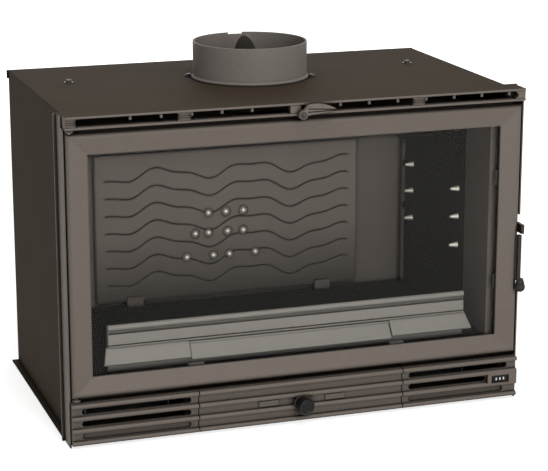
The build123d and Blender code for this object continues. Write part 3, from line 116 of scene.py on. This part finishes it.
class FirebackSizes(bpy.types.PropertyGroup):
    """Sizes of the fireback's grooves"""

    groove_pitch: bpy.props.FloatProperty(
        name="Groove pitch", description="Distance between the cast grooves", default=0.031, unit="LENGTH"
    )
    groove_width: bpy.props.FloatProperty(
        name="Groove width", description="Width of one groove", default=0.0056, unit="LENGTH"
    )
    groove_depth: bpy.props.FloatProperty(
        name="Groove depth", description="Depth of one groove", default=0.0026, unit="LENGTH"
    )
    sway: bpy.props.FloatProperty(
        name="Sway", description="How far a groove bends from its line", default=0.010, unit="LENGTH"
    )
    wave_length: bpy.props.FloatProperty(
        name="Wave length", description="Length of one bend of a groove", default=0.162, unit="LENGTH"
    )
    border: bpy.props.FloatProperty(
        name="Border", description="Width of the plain edge", default=0.014, unit="LENGTH"
    )


class StageSizes(bpy.types.PropertyGroup):
    """Floor and camera"""

    floor_colour: bpy.props.StringProperty(
        name="Floor colour", description="sRGB colour of the floor", default="#f4f4f4"
    )
    floor_half: bpy.props.FloatProperty(
        name="Floor half size", description="Half the floor's side", default=9.0, unit="LENGTH"
    )
    lens: bpy.props.FloatProperty(
        name="Lens", description="Focal length on a 36 mm wide picture", default=126.53, unit="CAMERA"
    )
    camera_place: bpy.props.FloatVectorProperty(
        name="Camera place",
        description="Where the camera stands",
        default=(-0.9772, -3.0064, 1.0755),
        subtype="TRANSLATION",
    )
    camera_yaw: bpy.props.FloatProperty(
        name="Camera yaw",
        description="Turn of the view from straight back towards the right",
        default=math.radians(18.735),
        subtype="ANGLE",
    )
    camera_pitch: bpy.props.FloatProperty(
        name="Camera pitch",
        description="Tilt of the view below level",
        default=math.radians(14.736),
        subtype="ANGLE",
    )


# Surfaces as numpy arrays


def mesh_piece(name, corners, faces, material, smooth=True):
    """Makes an object at the origin from an array of corners and an array or list of faces."""
    data = bpy.data.meshes.new(name)
    data.from_pydata(np.asarray(corners, float).tolist(), [], [list(map(int, f)) for f in faces])
    data.polygons.foreach_set("use_smooth", np.full(len(data.polygons), smooth))
    data.materials.append(material)
    data.update()
    piece = bpy.data.objects.new(name, data)
    bpy.context.scene.collection.objects.link(piece)
    return piece


def corners_of(data):
    """The corners of a mesh, one row each."""
    corners = np.empty(3 * len(data.vertices))
    data.vertices.foreach_get("co", corners)
    return corners.reshape(-1, 3)


def grid_faces(rows, columns, close_columns=False):
    """Quads of a grid of points: each joins a point to its right and lower neighbours."""
    r = np.arange(rows - 1)[:, None]
    c = np.arange(columns if close_columns else columns - 1)[None, :]
    n = (c + 1) % columns
    quads = np.stack([r * columns + c, r * columns + n, (r + 1) * columns + n, (r + 1) * columns + c], -1)
    return quads.reshape(-1, 4)


def turned(profile, centre, axis, sides):
    """A turned surface: the profile's (radius, height) pairs go round a level axis, so a point is
    centre + height * axis + radius * (cos t * u + sin t * v), for t from 0 to a full turn, where u
    and v are square to the axis."""
    profile = np.asarray(profile, float)
    u = np.cross(axis, UP)
    v = np.cross(axis, u)
    t = np.linspace(0, 2 * math.pi, sides, endpoint=False)
    ring = np.cos(t)[:, None] * u + np.sin(t)[:, None] * v
    points = centre + profile[:, 1, None, None] * axis + profile[:, 0, None, None] * ring
    return points.reshape(-1, 3), grid_faces(len(profile), sides, close_columns=True)


def rounded(profile, radius, steps=5):
    """A profile whose inner corners are cut round: near each corner the path is the curve
    (1-s)^2 * before + 2s(1-s) * corner + s^2 * after, for s from 0 to 1. A side keeps room for a
    cut at each of its ends."""
    p = np.asarray(profile, float)
    s = np.linspace(0, 1, steps)[:, None]
    cuts_per_side = 2.05
    path = [p[:1]]
    for before, corner, after in zip(p[:-2], p[1:-1], p[2:]):
        a, b = before - corner, after - corner
        la, lb = np.linalg.norm(a), np.linalg.norm(b)
        cut = min(radius, la / cuts_per_side, lb / cuts_per_side)
        start, end = corner + a / la * cut, corner + b / lb * cut
        path.append((1 - s) ** 2 * start + 2 * s * (1 - s) * corner + s**2 * end)
    path.append(p[-1:])
    return np.concatenate(path)


def carried(profile, start, end, across, up):
    """A profile carried straight: a point is start or end + a * across + b * up, for each
    (a, b) of the closed profile. Both ends are closed with one face."""
    profile = np.asarray(profile, float)
    shape = profile[:, :1] * across + profile[:, 1:] * up
    points = np.concatenate([shape + np.asarray(start), shape + np.asarray(end)])
    n = len(profile)
    sides = grid_faces(2, n, close_columns=True)
    return points, [*sides, np.arange(n - 1, -1, -1), np.arange(n, 2 * n)]


def rectangle(left, right, foot, top):
    """The four corners of a rectangle, as (across, up) pairs."""
    return [(left, foot), (right, foot), (right, top), (left, top)]


def joined(parts):
    """Several (points, faces) pairs as one, each part's faces counted on from the last."""
    points, faces, count = [], [], 0
    for part_points, part_faces in parts:
        points.append(part_points)
        faces.extend(face + count for face in part_faces)
        count += len(part_points)
    return np.concatenate(points), faces


def mend_normals(piece):
    """Merges doubled corners and turns the faces outwards."""
    bm = bmesh.new()
    bm.from_mesh(piece.data)
    bmesh.ops.remove_doubles(bm, verts=bm.verts, dist=1e-6)
    bmesh.ops.recalc_face_normals(bm, faces=bm.faces)
    bm.to_mesh(piece.data)
    bm.free()


# Finishes

# the inputs and the output of a Mix node that mixes colours
SHARE, FIRST, SECOND = 0, 6, 7
MIXED = 2
# widths in millimetres: how slowly a paint's tone drifts, and how far painted shade reaches from a corner
DRIFT_WIDTH = 90
PAINTED_SHADE_REACH = 12
FINISHES = {}


def hex_colour(text, gain=1.0):
    """The linear RGBA of an sRGB hex colour, with its light multiplied by gain."""
    s = np.array([int(text[i : i + 2], 16) for i in (1, 3, 5)]) / 255
    linear = np.where(s <= 0.04045, s / 12.92, ((s + 0.055) / 1.055) ** 2.4)
    return (*np.minimum(linear * gain, 1).tolist(), 1.0)


def node(tree, kind, settings=None, links=None):
    """Adds one shader node with its settings, input values and links."""
    made = tree.nodes.new(kind)
    for key, value in (settings or {}).items():
        if isinstance(key, str) and hasattr(made, key):
            setattr(made, key, value)
        else:
            made.inputs[key].default_value = value
    for key, source in (links or {}).items():
        tree.links.new(source, made.inputs[key])
    return made


def finish(
    name,
    base,
    roughness=0.5,
    metallic=0.0,
    flecks=None,
    grain=0.9,
    bump=0.0,
    edge=None,
    painted_corner_shade=None,
    cut=None,
    specular=0.5,
):
    """A painted, cast or bare surface: a colour that drifts slightly over some centimetres, flecks
    of another colour, and a bump of the same grain. Grain, bump and edge are in millimetres: edge is
    how far a corner's shading is rounded. The corner shade colour is painted shade, which the paint
    turns to deep in its corners and recesses, as ambient occlusion finds them. Cut is the colour of
    painted shade and shadow where the mesh's "cut" attribute is 1."""
    material = bpy.data.materials.new(name)
    material.use_nodes = True
    tree = material.node_tree
    tree.nodes.clear()
    place = node(tree, "ShaderNodeTexCoord").outputs["Object"]
    drift = node(
        tree, "ShaderNodeTexNoise", {"Scale": 1 / (DRIFT_WIDTH * MM), "Detail": 3.0}, {"Vector": place}
    )
    # a cell of the noise is two flecks wide
    speck = node(
        tree, "ShaderNodeTexNoise", {"Scale": 1 / (2 * grain * MM), "Detail": 2.0}, {"Vector": place}
    )
    tones = {"data_type": "RGBA", FIRST: hex_colour(base, 0.94), SECOND: hex_colour(base, 1.06)}
    colour = node(tree, "ShaderNodeMix", tones, {SHARE: drift.outputs["Fac"]}).outputs[MIXED]
    if flecks:
        limits = {"From Min": 0.56, "From Max": 0.7}
        pick = node(tree, "ShaderNodeMapRange", limits, {"Value": speck.outputs["Fac"]})
        over = {"data_type": "RGBA", SECOND: hex_colour(flecks)}
        links = {SHARE: pick.outputs["Result"], FIRST: colour}
        colour = node(tree, "ShaderNodeMix", over, links).outputs[MIXED]
    # painted shade and shadow: where the mesh's "cut" attribute is 1 the colour turns to cut
    if cut:
        depth = node(tree, "ShaderNodeAttribute", {"attribute_name": "cut"})
        over = {"data_type": "RGBA", SECOND: hex_colour(cut)}
        links = {SHARE: depth.outputs["Fac"], FIRST: colour}
        colour = node(tree, "ShaderNodeMix", over, links).outputs[MIXED]
    # painted shade: ambient occlusion turns the colour dark deep in corners and recesses
    if painted_corner_shade:
        near = node(tree, "ShaderNodeAmbientOcclusion", {"samples": 8, "Distance": PAINTED_SHADE_REACH * MM})
        limits = {"From Min": 0.5, "From Max": 0.9}
        bare = node(tree, "ShaderNodeMapRange", limits, {"Value": near.outputs["AO"]})
        under = {"data_type": "RGBA", FIRST: hex_colour(painted_corner_shade)}
        links = {SHARE: bare.outputs["Result"], SECOND: colour}
        colour = node(tree, "ShaderNodeMix", under, links).outputs[MIXED]
    # the roughness drifts with the tone
    limits = {"To Min": max(roughness - 0.05, 0.02), "To Max": min(roughness + 0.05, 1)}
    rough = node(tree, "ShaderNodeMapRange", limits, {"Value": drift.outputs["Fac"]})
    links = {"Base Color": colour, "Roughness": rough.outputs["Result"]}
    if edge:
        corner = node(tree, "ShaderNodeBevel", {"samples": 4, "Radius": edge * MM})
        links["Normal"] = corner.outputs["Normal"]
    if bump:
        below = {"Normal": links["Normal"]} if edge else {}
        height = {"Height": speck.outputs["Fac"], **below}
        relief = node(tree, "ShaderNodeBump", {"Strength": 0.6, "Distance": bump * MM}, height)
        links["Normal"] = relief.outputs["Normal"]
    shine = {"Metallic": metallic, "Specular IOR Level": specular}
    surface = node(tree, "ShaderNodeBsdfPrincipled", shine, links)
    node(tree, "ShaderNodeOutputMaterial", None, {"Surface": surface.outputs[0]})
    return material


def clear_glass():
    """Glass-ceramic pane: a thin clear sheet, drawn as a mix of a clear pass and a faint mirror
    that grows towards the edge of sight, as a flat pane does."""
    mirror_share = 0.15
    material = bpy.data.materials.new("Clear glass-ceramic")
    material.use_nodes = True
    tree = material.node_tree
    tree.nodes.clear()
    through = node(tree, "ShaderNodeBsdfTransparent", {"Color": hex_colour("#fbfbfa")})
    mirror = node(tree, "ShaderNodeBsdfGlossy", {"Roughness": 0.03, "Color": hex_colour("#ffffff")})
    edge = node(tree, "ShaderNodeFresnel", {"IOR": 1.45})
    faint = {"operation": "MULTIPLY", 1: mirror_share}
    share = node(tree, "ShaderNodeMath", faint, {0: edge.outputs[0]})
    shaders = {0: share.outputs[0], 1: through.outputs[0], 2: mirror.outputs[0]}
    mix = node(tree, "ShaderNodeMixShader", None, shaders)
    node(tree, "ShaderNodeOutputMaterial", None, {"Surface": mix.outputs[0]})
    return material


def make_finishes(sizes):
    """One material for each of the record's slots, named for what the real one is, and a few for
    single pieces, named by their solid."""
    grain = sizes.paint_grain / MM
    # dull paint mirrors little of the white room round it
    dull = {"specular": 0.1}
    # cast and folded parts get painted shade, a dark colour deep in their corners and recesses
    cast = {"edge": 1.6, "painted_corner_shade": "#1c1815", **dull}
    sheet = {"edge": 1.0, "painted_corner_shade": "#15120f", "specular": 0.06}
    front = (sizes.front_paint, 0.5, 0.1, "#766e66", grain, 0.03)
    return {
        # heat-proof paint with mica on cast iron: satin, faintly metallic, a fine cast grain
        "front_paint": finish("Mica stove paint on cast iron", *front, **cast),
        # the door's outer edge is cast with a wide round
        "door_frame": finish("Mica stove paint on cast door", *front, **{**cast, "edge": 4.0}),
        # the handle has the same paint, darker from hands and heat
        "handle_lever": finish("Darkened stove paint on arm", "#3d3732", 0.5, 0.1, **cast),
        "handle_grip": finish("Darkened stove paint on grip", "#35302b", 0.4, 0.1, **cast),
        # stove paint on folded sheet: smoother than on the castings, brown and dark
        "casing_paint": finish("Brown stove paint on sheet", sizes.casing_paint, 0.8, grain=grain, **sheet),
        # firebox plates: grey-brown paint, matt
        "firebox_paint": finish("Matt stove paint on plate", sizes.firebox_paint, 0.7, grain=grain, **sheet),
        # the grooves are painted near black as painted shade in the recesses; the same colour paints shade at
        # the foot and a shadow round each nozzle
        "fireback": finish("Matt stove paint on casting", sizes.fireback_paint, 0.7, cut="#0d0b0a", **dull),
        # the hearth and side plates are bare, dark and dull; the hearth's dark colour is partly its own and
        # partly painted shade
        "firebox_floor": finish("Blackened hearth plate", "#1c1a17", 0.8, grain=grain, **dull),
        "right_firebox_wall": finish("Blackened side plate", "#2b2722", 0.8, grain=grain, **dull),
        "left_firebox_wall": finish("Blackened left side plate", "#2b2722", 0.8, grain=grain, **dull),
        # the corner strip's edge is worn lighter than the plates it joins
        "right_corner_strip": finish("Worn stove paint on strip", "#857d75", 0.6, **sheet),
        # thin paint on sand-cast iron: dark grey, with the sand's grain showing
        "damper_iron": finish("Painted cast iron", "#4b4641", 0.5, 0.1, "#59534d", grain, 0.05, **dull),
        # the collar's sheet is greyer than the casing and slightly mottled
        "flue_collar": finish("Grey stove paint on pipe", "#79736d", 0.55, 0.05, "#7f7973", 2, 0.02, **sheet),
        # the log guard's paint is the lightest: a smooth satin grey
        "guard_paint": finish("Grey stove paint", sizes.guard_paint, 0.45, 0.1, grain=grain, **cast),
        # unpainted iron: near black, with a coarse cast skin
        "grate_iron": finish("Bare cast iron", "#2a2826", 0.65, 0.3, None, 1.2, 0.1),
        # zinc on small steel fixings: bright, bluish
        "zinc_steel": finish("Zinc-plated steel", "#8d8c88", 0.35, 0.9),
        # the collar's screws are burnt dark
        "collar_screws": finish("Blackened screw", "#3b3631", 0.5, 0.4),
        # the top plate's fittings are painted over and show little metal
        "top_fittings": finish("Painted steel fitting", "#3a3530", 0.45, 0.3),
        # hot-dipped zinc: pale metal with spangles some millimetres wide
        "galvanised_sheet": finish("Galvanised sheet", "#8c8f90", 0.45, 0.8, "#9da1a2", 6.0),
        # rolled steel as it comes: mid grey with a soft sheen
        "ash_pan_steel": finish("Plain sheet steel", "#5d5c59", 0.5, 0.7),
        # turned bar: the smoothest of the steels
        "steel_rod": finish("Turned steel bar", "#77736c", 0.35, 0.9),
        # blasted stainless: bright over its whole dome
        "bright_steel": finish("Blasted stainless steel", "#f2ede3", 0.5, 0.7),
        # phenolic knob and switch: near black, glossy
        "black_plastic": finish("Black phenolic", "#0b0a09", 0.3, specular=0.2),
        # moulded rubber: black and matt
        "black_rubber": finish("Black rubber", "#191919", 0.7),
        # printing ink: flat, slightly grey white
        "mark_white": finish("White print", "#d8d6d0", 0.5),
        # glass-ceramic: clear, with a faint mirror
        "ceramic_glass": clear_glass(),
        # graphite rope: charcoal, soft, with strands a millimetre or two wide
        "rope_seal": finish("Graphite rope", "#2a2a2a", 0.9, 0.0, "#363636", 1.5, 0.3, **dull),
        # pressed aluminium: pale metal with a blurred mirror
        "fan_aluminium": finish("Pressed aluminium", "#b5b7b9", 0.4, 0.9),
        # enamel on the motors' cases: black with a soft gloss
        "motor_black": finish("Black enamel", "#1a1a1b", 0.4),
    }


def ride_with(piece, solid):
    """The piece rides on the solid's body."""
    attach(piece, NODES[solid]["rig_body"])


def replace(piece, solid):
    """The piece stands for a solid."""
    ride_with(piece, solid)
    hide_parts(solid)


# Operators


class INSERT_OT_finishes(bpy.types.Operator):
    """Gives each solid that stays the finish of its slot"""

    bl_idname = "insert.finishes"
    bl_label = "Finish the solids"

    def execute(self, context):
        FINISHES.update(make_finishes(context.scene.insert_finish))
        for sub in frame["record"]["subparts"]:
            data = NODES[sub["node"]].data
            data.materials.clear()
            data.materials.append(FINISHES.get(sub["node"], FINISHES[sub["material_slot"]]))
        return {"FINISHED"}


class INSERT_OT_fireback(bpy.types.Operator):
    """Cast fireback with shallow flowing grooves and a plain border"""

    bl_idname = "insert.fireback"
    bl_label = "Fireback"

    def groove_share(self, sizes, gx, gz, edge):
        """How deep each point lies in a groove, from 0 to 1. A groove's height is a multiple of the
        pitch plus a sine of x and a smaller, shorter one. From its middle line to half its width the
        depth falls off as a cosine. Grooves fade out towards the border, and only those are cut that
        fit whole between the borders."""
        ripple, ripple_length, ripple_phase = 0.35, 0.071, 1.1
        fade_width = 0.006
        low_z, high_z = gz[0, 0], gz[-1, 0]
        wave = np.sin(gx * 2 * math.pi / sizes.wave_length)
        small_wave = np.sin(gx * 2 * math.pi / ripple_length + ripple_phase)
        sway = sizes.sway * (wave + ripple * small_wave)
        row = (gz - (low_z + high_z) / 2 - sway) / sizes.groove_pitch
        away = np.abs(row - np.round(row)) * sizes.groove_pitch
        depth = 0.5 + 0.5 * np.cos(math.pi * np.clip(away / (sizes.groove_width / 2), 0, 1))
        fade = np.clip((edge - sizes.border) / fade_width, 0, 1)
        room = (high_z - low_z) / 2 - sizes.border - fade_width - (1 + ripple) * sizes.sway
        return depth * fade * (np.abs(np.round(row)) <= int(room / sizes.groove_pitch))

    def painted_shade_share(self, gx, gz):
        """How much painted shade lies on each point, from 0 to 1. It is thickest at the foot and thins
        out over nearly half the height, and a ring of painted shadow lies round each air nozzle."""
        darkest, reach = 0.6, 0.45
        ring_radius, ring_blur, crown_depth = 0.0092, 0.002, 0.0004
        low_z, high_z = gz[0, 0], gz[-1, 0]
        foot = np.clip(1 - (gz - low_z) / (reach * (high_z - low_z)), 0, 1)
        # a nozzle's middle is its foremost point
        crowns = corners_of(NODES["rear_nozzles"].data)
        crowns = crowns[crowns[:, 1] < low("rear_nozzles")[1] + crown_depth]
        gaps = np.full(gx.shape, np.inf)
        for x, z in np.unique(np.round(crowns[:, [0, 2]], 3), axis=0):
            gaps = np.minimum(gaps, np.hypot(gx - x, gz - z))
        ring = np.clip((ring_radius - gaps) / ring_blur, 0, 1)
        return darkest * np.maximum(foot, ring)

    def execute(self, context):
        sizes = context.scene.insert_fireback
        lo, hi = low("fireback"), high("fireback")
        # fine enough for the grooves, and under 200,000 triangles
        columns, rows = 361, 241
        rim = 0.003
        gx, gz = np.meshgrid(np.linspace(lo[0], hi[0], columns), np.linspace(lo[2], hi[2], rows))
        edge = np.minimum.reduce([gx - lo[0], hi[0] - gx, gz - lo[2], hi[2] - gz])
        groove = self.groove_share(sizes, gx, gz, edge)
        # the face is cut back by the grooves and by a slanted rim
        gy = lo[1] + sizes.groove_depth * groove + rim * np.clip(1 - edge / rim, 0, 1)
        front = np.stack([gx, gy, gz], -1).reshape(-1, 3)
        # the face's outline, once round, is carried straight to the back
        index = np.arange(rows * columns).reshape(rows, columns)
        outline = np.concatenate([index[0], index[1:, -1], index[-1, -2::-1], index[-2:0:-1, 0]])
        back = front[outline]
        back[:, 1] = hi[1]
        count, start = len(outline), len(front)
        ring = start + np.arange(count)
        sides = np.stack([np.roll(outline, -1), outline, ring, np.roll(ring, -1)], -1)
        faces = [*grid_faces(rows, columns), *sides, ring]
        piece = mesh_piece("Fireback", np.concatenate([front, back]), faces, FINISHES["fireback"])
        mend_normals(piece)
        # the "cut" attribute holds painted shade in the grooves and at the foot, and a painted shadow round
        # each nozzle
        shade = piece.data.attributes.new("cut", "FLOAT", "POINT")
        dark = np.maximum(groove, self.painted_shade_share(gx, gz))
        shade.data.foreach_set("value", np.append(dark.ravel(), np.zeros(count)))
        replace(piece, "fireback")
        return {"FINISHED"}


class INSERT_OT_ledge(bpy.types.Operator):
    """Front frame and top grille, whose upper faces carry the casing's darker paint"""

    bl_idname = "insert.ledge"
    bl_label = "Front's ledge"

    def execute(self, context):
        # a face counts as upper if it looks up and lies within the band under the top
        band, looks_up, sharp = 0.004, 0.9, math.radians(30)
        for solid in ("front_frame", "top_grille"):
            source = NODES[solid].data
            faces = [polygon.vertices for polygon in source.polygons]
            name = solid.capitalize() + "_two_paints"
            piece = mesh_piece(name, corners_of(source), faces, FINISHES["front_paint"])
            mend_normals(piece)
            data = piece.data
            data.materials.append(FINISHES["casing_paint"])
            data.set_sharp_from_angle(angle=sharp)
            normals = np.empty(3 * len(data.polygons))
            centres = np.empty(3 * len(data.polygons))
            data.polygons.foreach_get("normal", normals)
            data.polygons.foreach_get("center", centres)
            upper = (normals[2::3] > looks_up) & (centres[2::3] > high(solid)[2] - band)
            data.polygons.foreach_set("material_index", upper.astype(int))
            replace(piece, solid)
        return {"FINISHED"}


class INSERT_OT_fold(bpy.types.Operator):
    """Front fold of the top plate, which closes the slit behind the top grille's upper rail"""

    bl_idname = "insert.fold"
    bl_label = "Top plate's front fold"

    def execute(self, context):
        grille_low, grille_high = low("top_grille"), high("top_grille")
        front_y, top_z = low("top_plate")[1], high("top_plate")[2]
        sheet, inset = 0.0012, 0.002
        tall = grille_high[2] - top_z - sheet
        outline = rectangle(-sheet, 0.0, -sheet, tall)
        left = (grille_low[0] + inset, front_y, top_z)
        right = (grille_high[0] - inset, front_y, top_z)
        points, faces = carried(outline, left, right, BACK, UP)
        piece = mesh_piece("Top_plate_front_fold", points, faces, FINISHES["casing_paint"], smooth=False)
        mend_normals(piece)
        ride_with(piece, "top_plate")
        return {"FINISHED"}


class INSERT_OT_ribs(bpy.types.Operator):
    """Level ribs on the faces of the top grille's left end block and its two inner blocks"""

    bl_idname = "insert.ribs"
    bl_label = "Block ribs"

    def execute(self, context):
        lo, hi = low("top_grille"), high("top_grille")
        below_top, margin, end_width = 0.010, 0.001, 0.0165
        tall, pitch, proud, sunk = 0.0012, 0.0029, 0.0009, 0.001
        end_block = (lo[0] + margin, lo[0] + end_width)
        inner_blocks = ((-0.201, -0.181), (0.181, 0.201))
        outline = rectangle(-proud, 0, -tall / 2, tall / 2)
        parts = []
        for start, end in (end_block, *inner_blocks):
            for row in (-1, 0, 1):
                y, z = lo[1] + sunk, hi[2] - below_top + row * pitch
                parts.append(carried(outline, (start, y, z), (end, y, z), BACK, UP))
        piece = mesh_piece("Block_ribs", *joined(parts), FINISHES["front_paint"], smooth=False)
        mend_normals(piece)
        ride_with(piece, "top_grille")
        return {"FINISHED"}


class INSERT_OT_knob(bpy.types.Operator):
    """Round air knob with a dished face and a rolled rim"""

    bl_idname = "insert.knob"
    bl_label = "Air knob"

    def execute(self, context):
        lo, hi = low("air_knob"), high("air_knob")
        depth = hi[1] - lo[1]
        # slightly smaller than its solid, with corners rounded
        smaller = 0.94
        radius = smaller * (hi[0] - lo[0]) / 2
        corner, dish, roll = 0.0014, 0.0012, 0.0022
        waist, step = 0.2 * depth, 0.12 * depth
        # shares of the radius, from the middle outwards
        dish_edge, rim_inside, neck, rim_outside = (s * radius for s in (0.66, 0.76, 0.86, 0.9))
        # half of the knob's section, from the middle of its face to the middle of its back
        face = [(0.0, depth - dish), (dish_edge, depth - dish), (rim_inside, depth)]
        rim = [(rim_outside, depth), (radius, depth - roll), (radius, waist)]
        foot = [(neck, step), (neck, 0.0), (0.0, 0.0)]
        outline = rounded(face + rim + foot, corner)
        centre = (lo + hi) / 2
        centre[1] = hi[1]
        points, faces = turned(outline, centre, -BACK, sides=64)
        piece = mesh_piece("Air_knob", points, faces, FINISHES["black_plastic"])
        mend_normals(piece)
        replace(piece, "air_knob")
        return {"FINISHED"}


class INSERT_OT_marks(bpy.types.Operator):
    """Three plain white position marks printed on the fan switch's rocker"""

    bl_idname = "insert.marks"
    bl_label = "Switch marks"

    def execute(self, context):
        lo, hi = low("switch_rocker"), high("switch_rocker")
        width, height = hi[0] - lo[0], hi[2] - lo[2]
        stroke, tall = 0.09 * width, 0.34 * height
        # each mark starts inside the rocker's hollow face and stands just proud of it
        sunk, thick = 0.0009, 0.0011
        outline = rectangle(-stroke / 2, stroke / 2, -tall / 2, tall / 2)
        parts = []
        for share in (0.24, 0.5, 0.76):
            start = np.array([lo[0] + share * width, lo[1] + sunk, (lo[2] + hi[2]) / 2])
            parts.append(carried(outline, start, start - thick * BACK, RIGHT, UP))
        piece = mesh_piece("Switch_marks", *joined(parts), FINISHES["mark_white"], smooth=False)
        mend_normals(piece)
        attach(piece, NODES["switch_rocker"]["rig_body"])
        return {"FINISHED"}


class INSERT_OT_stage(bpy.types.Operator):
    """Pale floor, soft studio light and the camera"""

    bl_idname = "insert.stage"
    bl_label = "Stage"

    def seen_rays(self, tree):
        """1 where the camera, a mirror or a pane looks, 0 where light is gathered."""
        path = node(tree, "ShaderNodeLightPath").outputs
        pair = {0: path["Is Camera Ray"], 1: path["Is Glossy Ray"]}
        both = node(tree, "ShaderNodeMath", {"operation": "MAXIMUM"}, pair)
        every = {0: both.outputs[0], 1: path["Is Transmission Ray"]}
        return node(tree, "ShaderNodeMath", {"operation": "MAXIMUM"}, every).outputs[0]

    def lay_floor(self, sizes):
        """A matt pale floor. What is seen of it is lifted to white, less so near the insert, where
        its shadow lies."""
        material = bpy.data.materials.new("Pale studio floor")
        material.use_nodes = True
        tree = material.node_tree
        tree.nodes.clear()
        matt = node(tree, "ShaderNodeBsdfDiffuse", {"Color": hex_colour(sizes.floor_colour)})
        place = node(tree, "ShaderNodeTexCoord").outputs["Object"]
        away = node(tree, "ShaderNodeVectorMath", {"operation": "LENGTH"}, {0: place})
        ramp = {"From Min": 1.0, "From Max": 4.0, "To Min": 0.72, "To Max": 1.0}
        far = node(tree, "ShaderNodeMapRange", ramp, {"Value": away.outputs["Value"]})
        both = {0: self.seen_rays(tree), 1: far.outputs["Result"]}
        share = node(tree, "ShaderNodeMath", {"operation": "MULTIPLY"}, both)
        lift = node(tree, "ShaderNodeEmission", {"Color": (1, 1, 1, 1)}, {"Strength": share.outputs[0]})
        both = node(tree, "ShaderNodeAddShader", None, {0: matt.outputs[0], 1: lift.outputs[0]})
        node(tree, "ShaderNodeOutputMaterial", None, {"Surface": both.outputs[0]})
        half = sizes.floor_half
        corners = [(x, y, 0) for x, y in rectangle(-half, half, -half, half)]
        mesh_piece("Floor", corners, [(0, 1, 2, 3)], material, smooth=False)

    def light_world(self, scene):
        """A weak soft light from all round. What is seen of it is plain white."""
        scene.world = bpy.data.worlds.new("Studio")
        scene.world.use_nodes = True
        tree = scene.world.node_tree
        tree.nodes.clear()
        soft = node(tree, "ShaderNodeBackground", {"Color": hex_colour("#f6f5f3"), "Strength": 0.36})
        plain = node(tree, "ShaderNodeBackground", {"Color": (1, 1, 1, 1), "Strength": 1.0})
        shaders = {0: self.seen_rays(tree), 1: soft.outputs[0], 2: plain.outputs[0]}
        mix = node(tree, "ShaderNodeMixShader", None, shaders)
        node(tree, "ShaderNodeOutputWorld", None, {"Surface": mix.outputs[0]})

    def hang_lamp(self, scene, name, place, size, power):
        """A square lamp, size metres wide and power watts strong, that looks at the insert."""
        middle = Vector((0, 0, 0.3))
        lamp = bpy.data.lights.new(name, "AREA")
        lamp.size, lamp.energy = size, power
        light = bpy.data.objects.new(name, lamp)
        light.location = place
        light.rotation_euler = (middle - Vector(place)).to_track_quat("-Z", "Y").to_euler()
        scene.collection.objects.link(light)

    def set_camera(self, scene, sizes):
        """A camera that looks back, turned to the right by the yaw and down by the pitch."""
        camera = bpy.data.cameras.new("Camera")
        camera.sensor_width, camera.lens = 36.0, sizes.lens
        camera.clip_start, camera.clip_end = 0.05, 60
        view = bpy.data.objects.new("Camera", camera)
        view.location = sizes.camera_place
        yaw, pitch = sizes.camera_yaw, sizes.camera_pitch
        level = math.cos(pitch)
        forward = Vector((math.sin(yaw) * level, math.cos(yaw) * level, -math.sin(pitch)))
        view.rotation_euler = forward.to_track_quat("-Z", "Y").to_euler()
        scene.collection.objects.link(view)
        scene.camera = view

    def execute(self, context):
        sizes, scene = context.scene.insert_stage, context.scene
        scene.view_settings.view_transform = "Standard"
        self.lay_floor(sizes)
        self.light_world(scene)
        self.hang_lamp(scene, "Front", (0.2, -3.6, 1.1), size=1.2, power=46)
        self.hang_lamp(scene, "Upper_front", (0.1, -1.6, 3.0), size=1.0, power=33)
        self.hang_lamp(scene, "Back", (0.8, 3.4, 1.2), size=2.0, power=16)
        self.set_camera(scene, sizes)
        return {"FINISHED"}


class INSERT_PT_panel(bpy.types.Panel):
    """Lists the sizes and the operators"""

    bl_idname = "INSERT_PT_panel"
    bl_label = "Fireplace insert"
    bl_space_type = "VIEW_3D"
    bl_region_type = "UI"
    bl_category = "Insert"

    def draw(self, context):
        for key, group in GROUPS.items():
            for size in group.__annotations__:
                self.layout.prop(getattr(context.scene, key), size)
        for operator in OPERATORS:
            self.layout.operator(operator.bl_idname)


GROUPS = {"insert_finish": FinishSizes, "insert_fireback": FirebackSizes, "insert_stage": StageSizes}
OPERATORS = (
    INSERT_OT_finishes,
    INSERT_OT_fireback,
    INSERT_OT_ledge,
    INSERT_OT_fold,
    INSERT_OT_ribs,
    INSERT_OT_knob,
    INSERT_OT_marks,
    INSERT_OT_stage,
)


def register():
    """Makes the groups, operators and panel known, and gives the scene its sizes."""
    for cls in (*GROUPS.values(), *OPERATORS, INSERT_PT_panel):
        bpy.utils.register_class(cls)
    for key, group in GROUPS.items():
        setattr(bpy.types.Scene, key, bpy.props.PointerProperty(type=group))


def unregister():
    """Takes back what register made."""
    for key in GROUPS:
        delattr(bpy.types.Scene, key)
    for cls in (INSERT_PT_panel, *OPERATORS, *GROUPS.values()):
        bpy.utils.unregister_class(cls)


def main():
    """Runs the operators in order."""
    register()
    bpy.ops.insert.finishes()
    bpy.ops.insert.fireback()
    bpy.ops.insert.ledge()
    bpy.ops.insert.fold()
    bpy.ops.insert.ribs()
    bpy.ops.insert.knob()
    bpy.ops.insert.marks()
    bpy.ops.insert.stage()


if __name__ == "__main__":
    main()
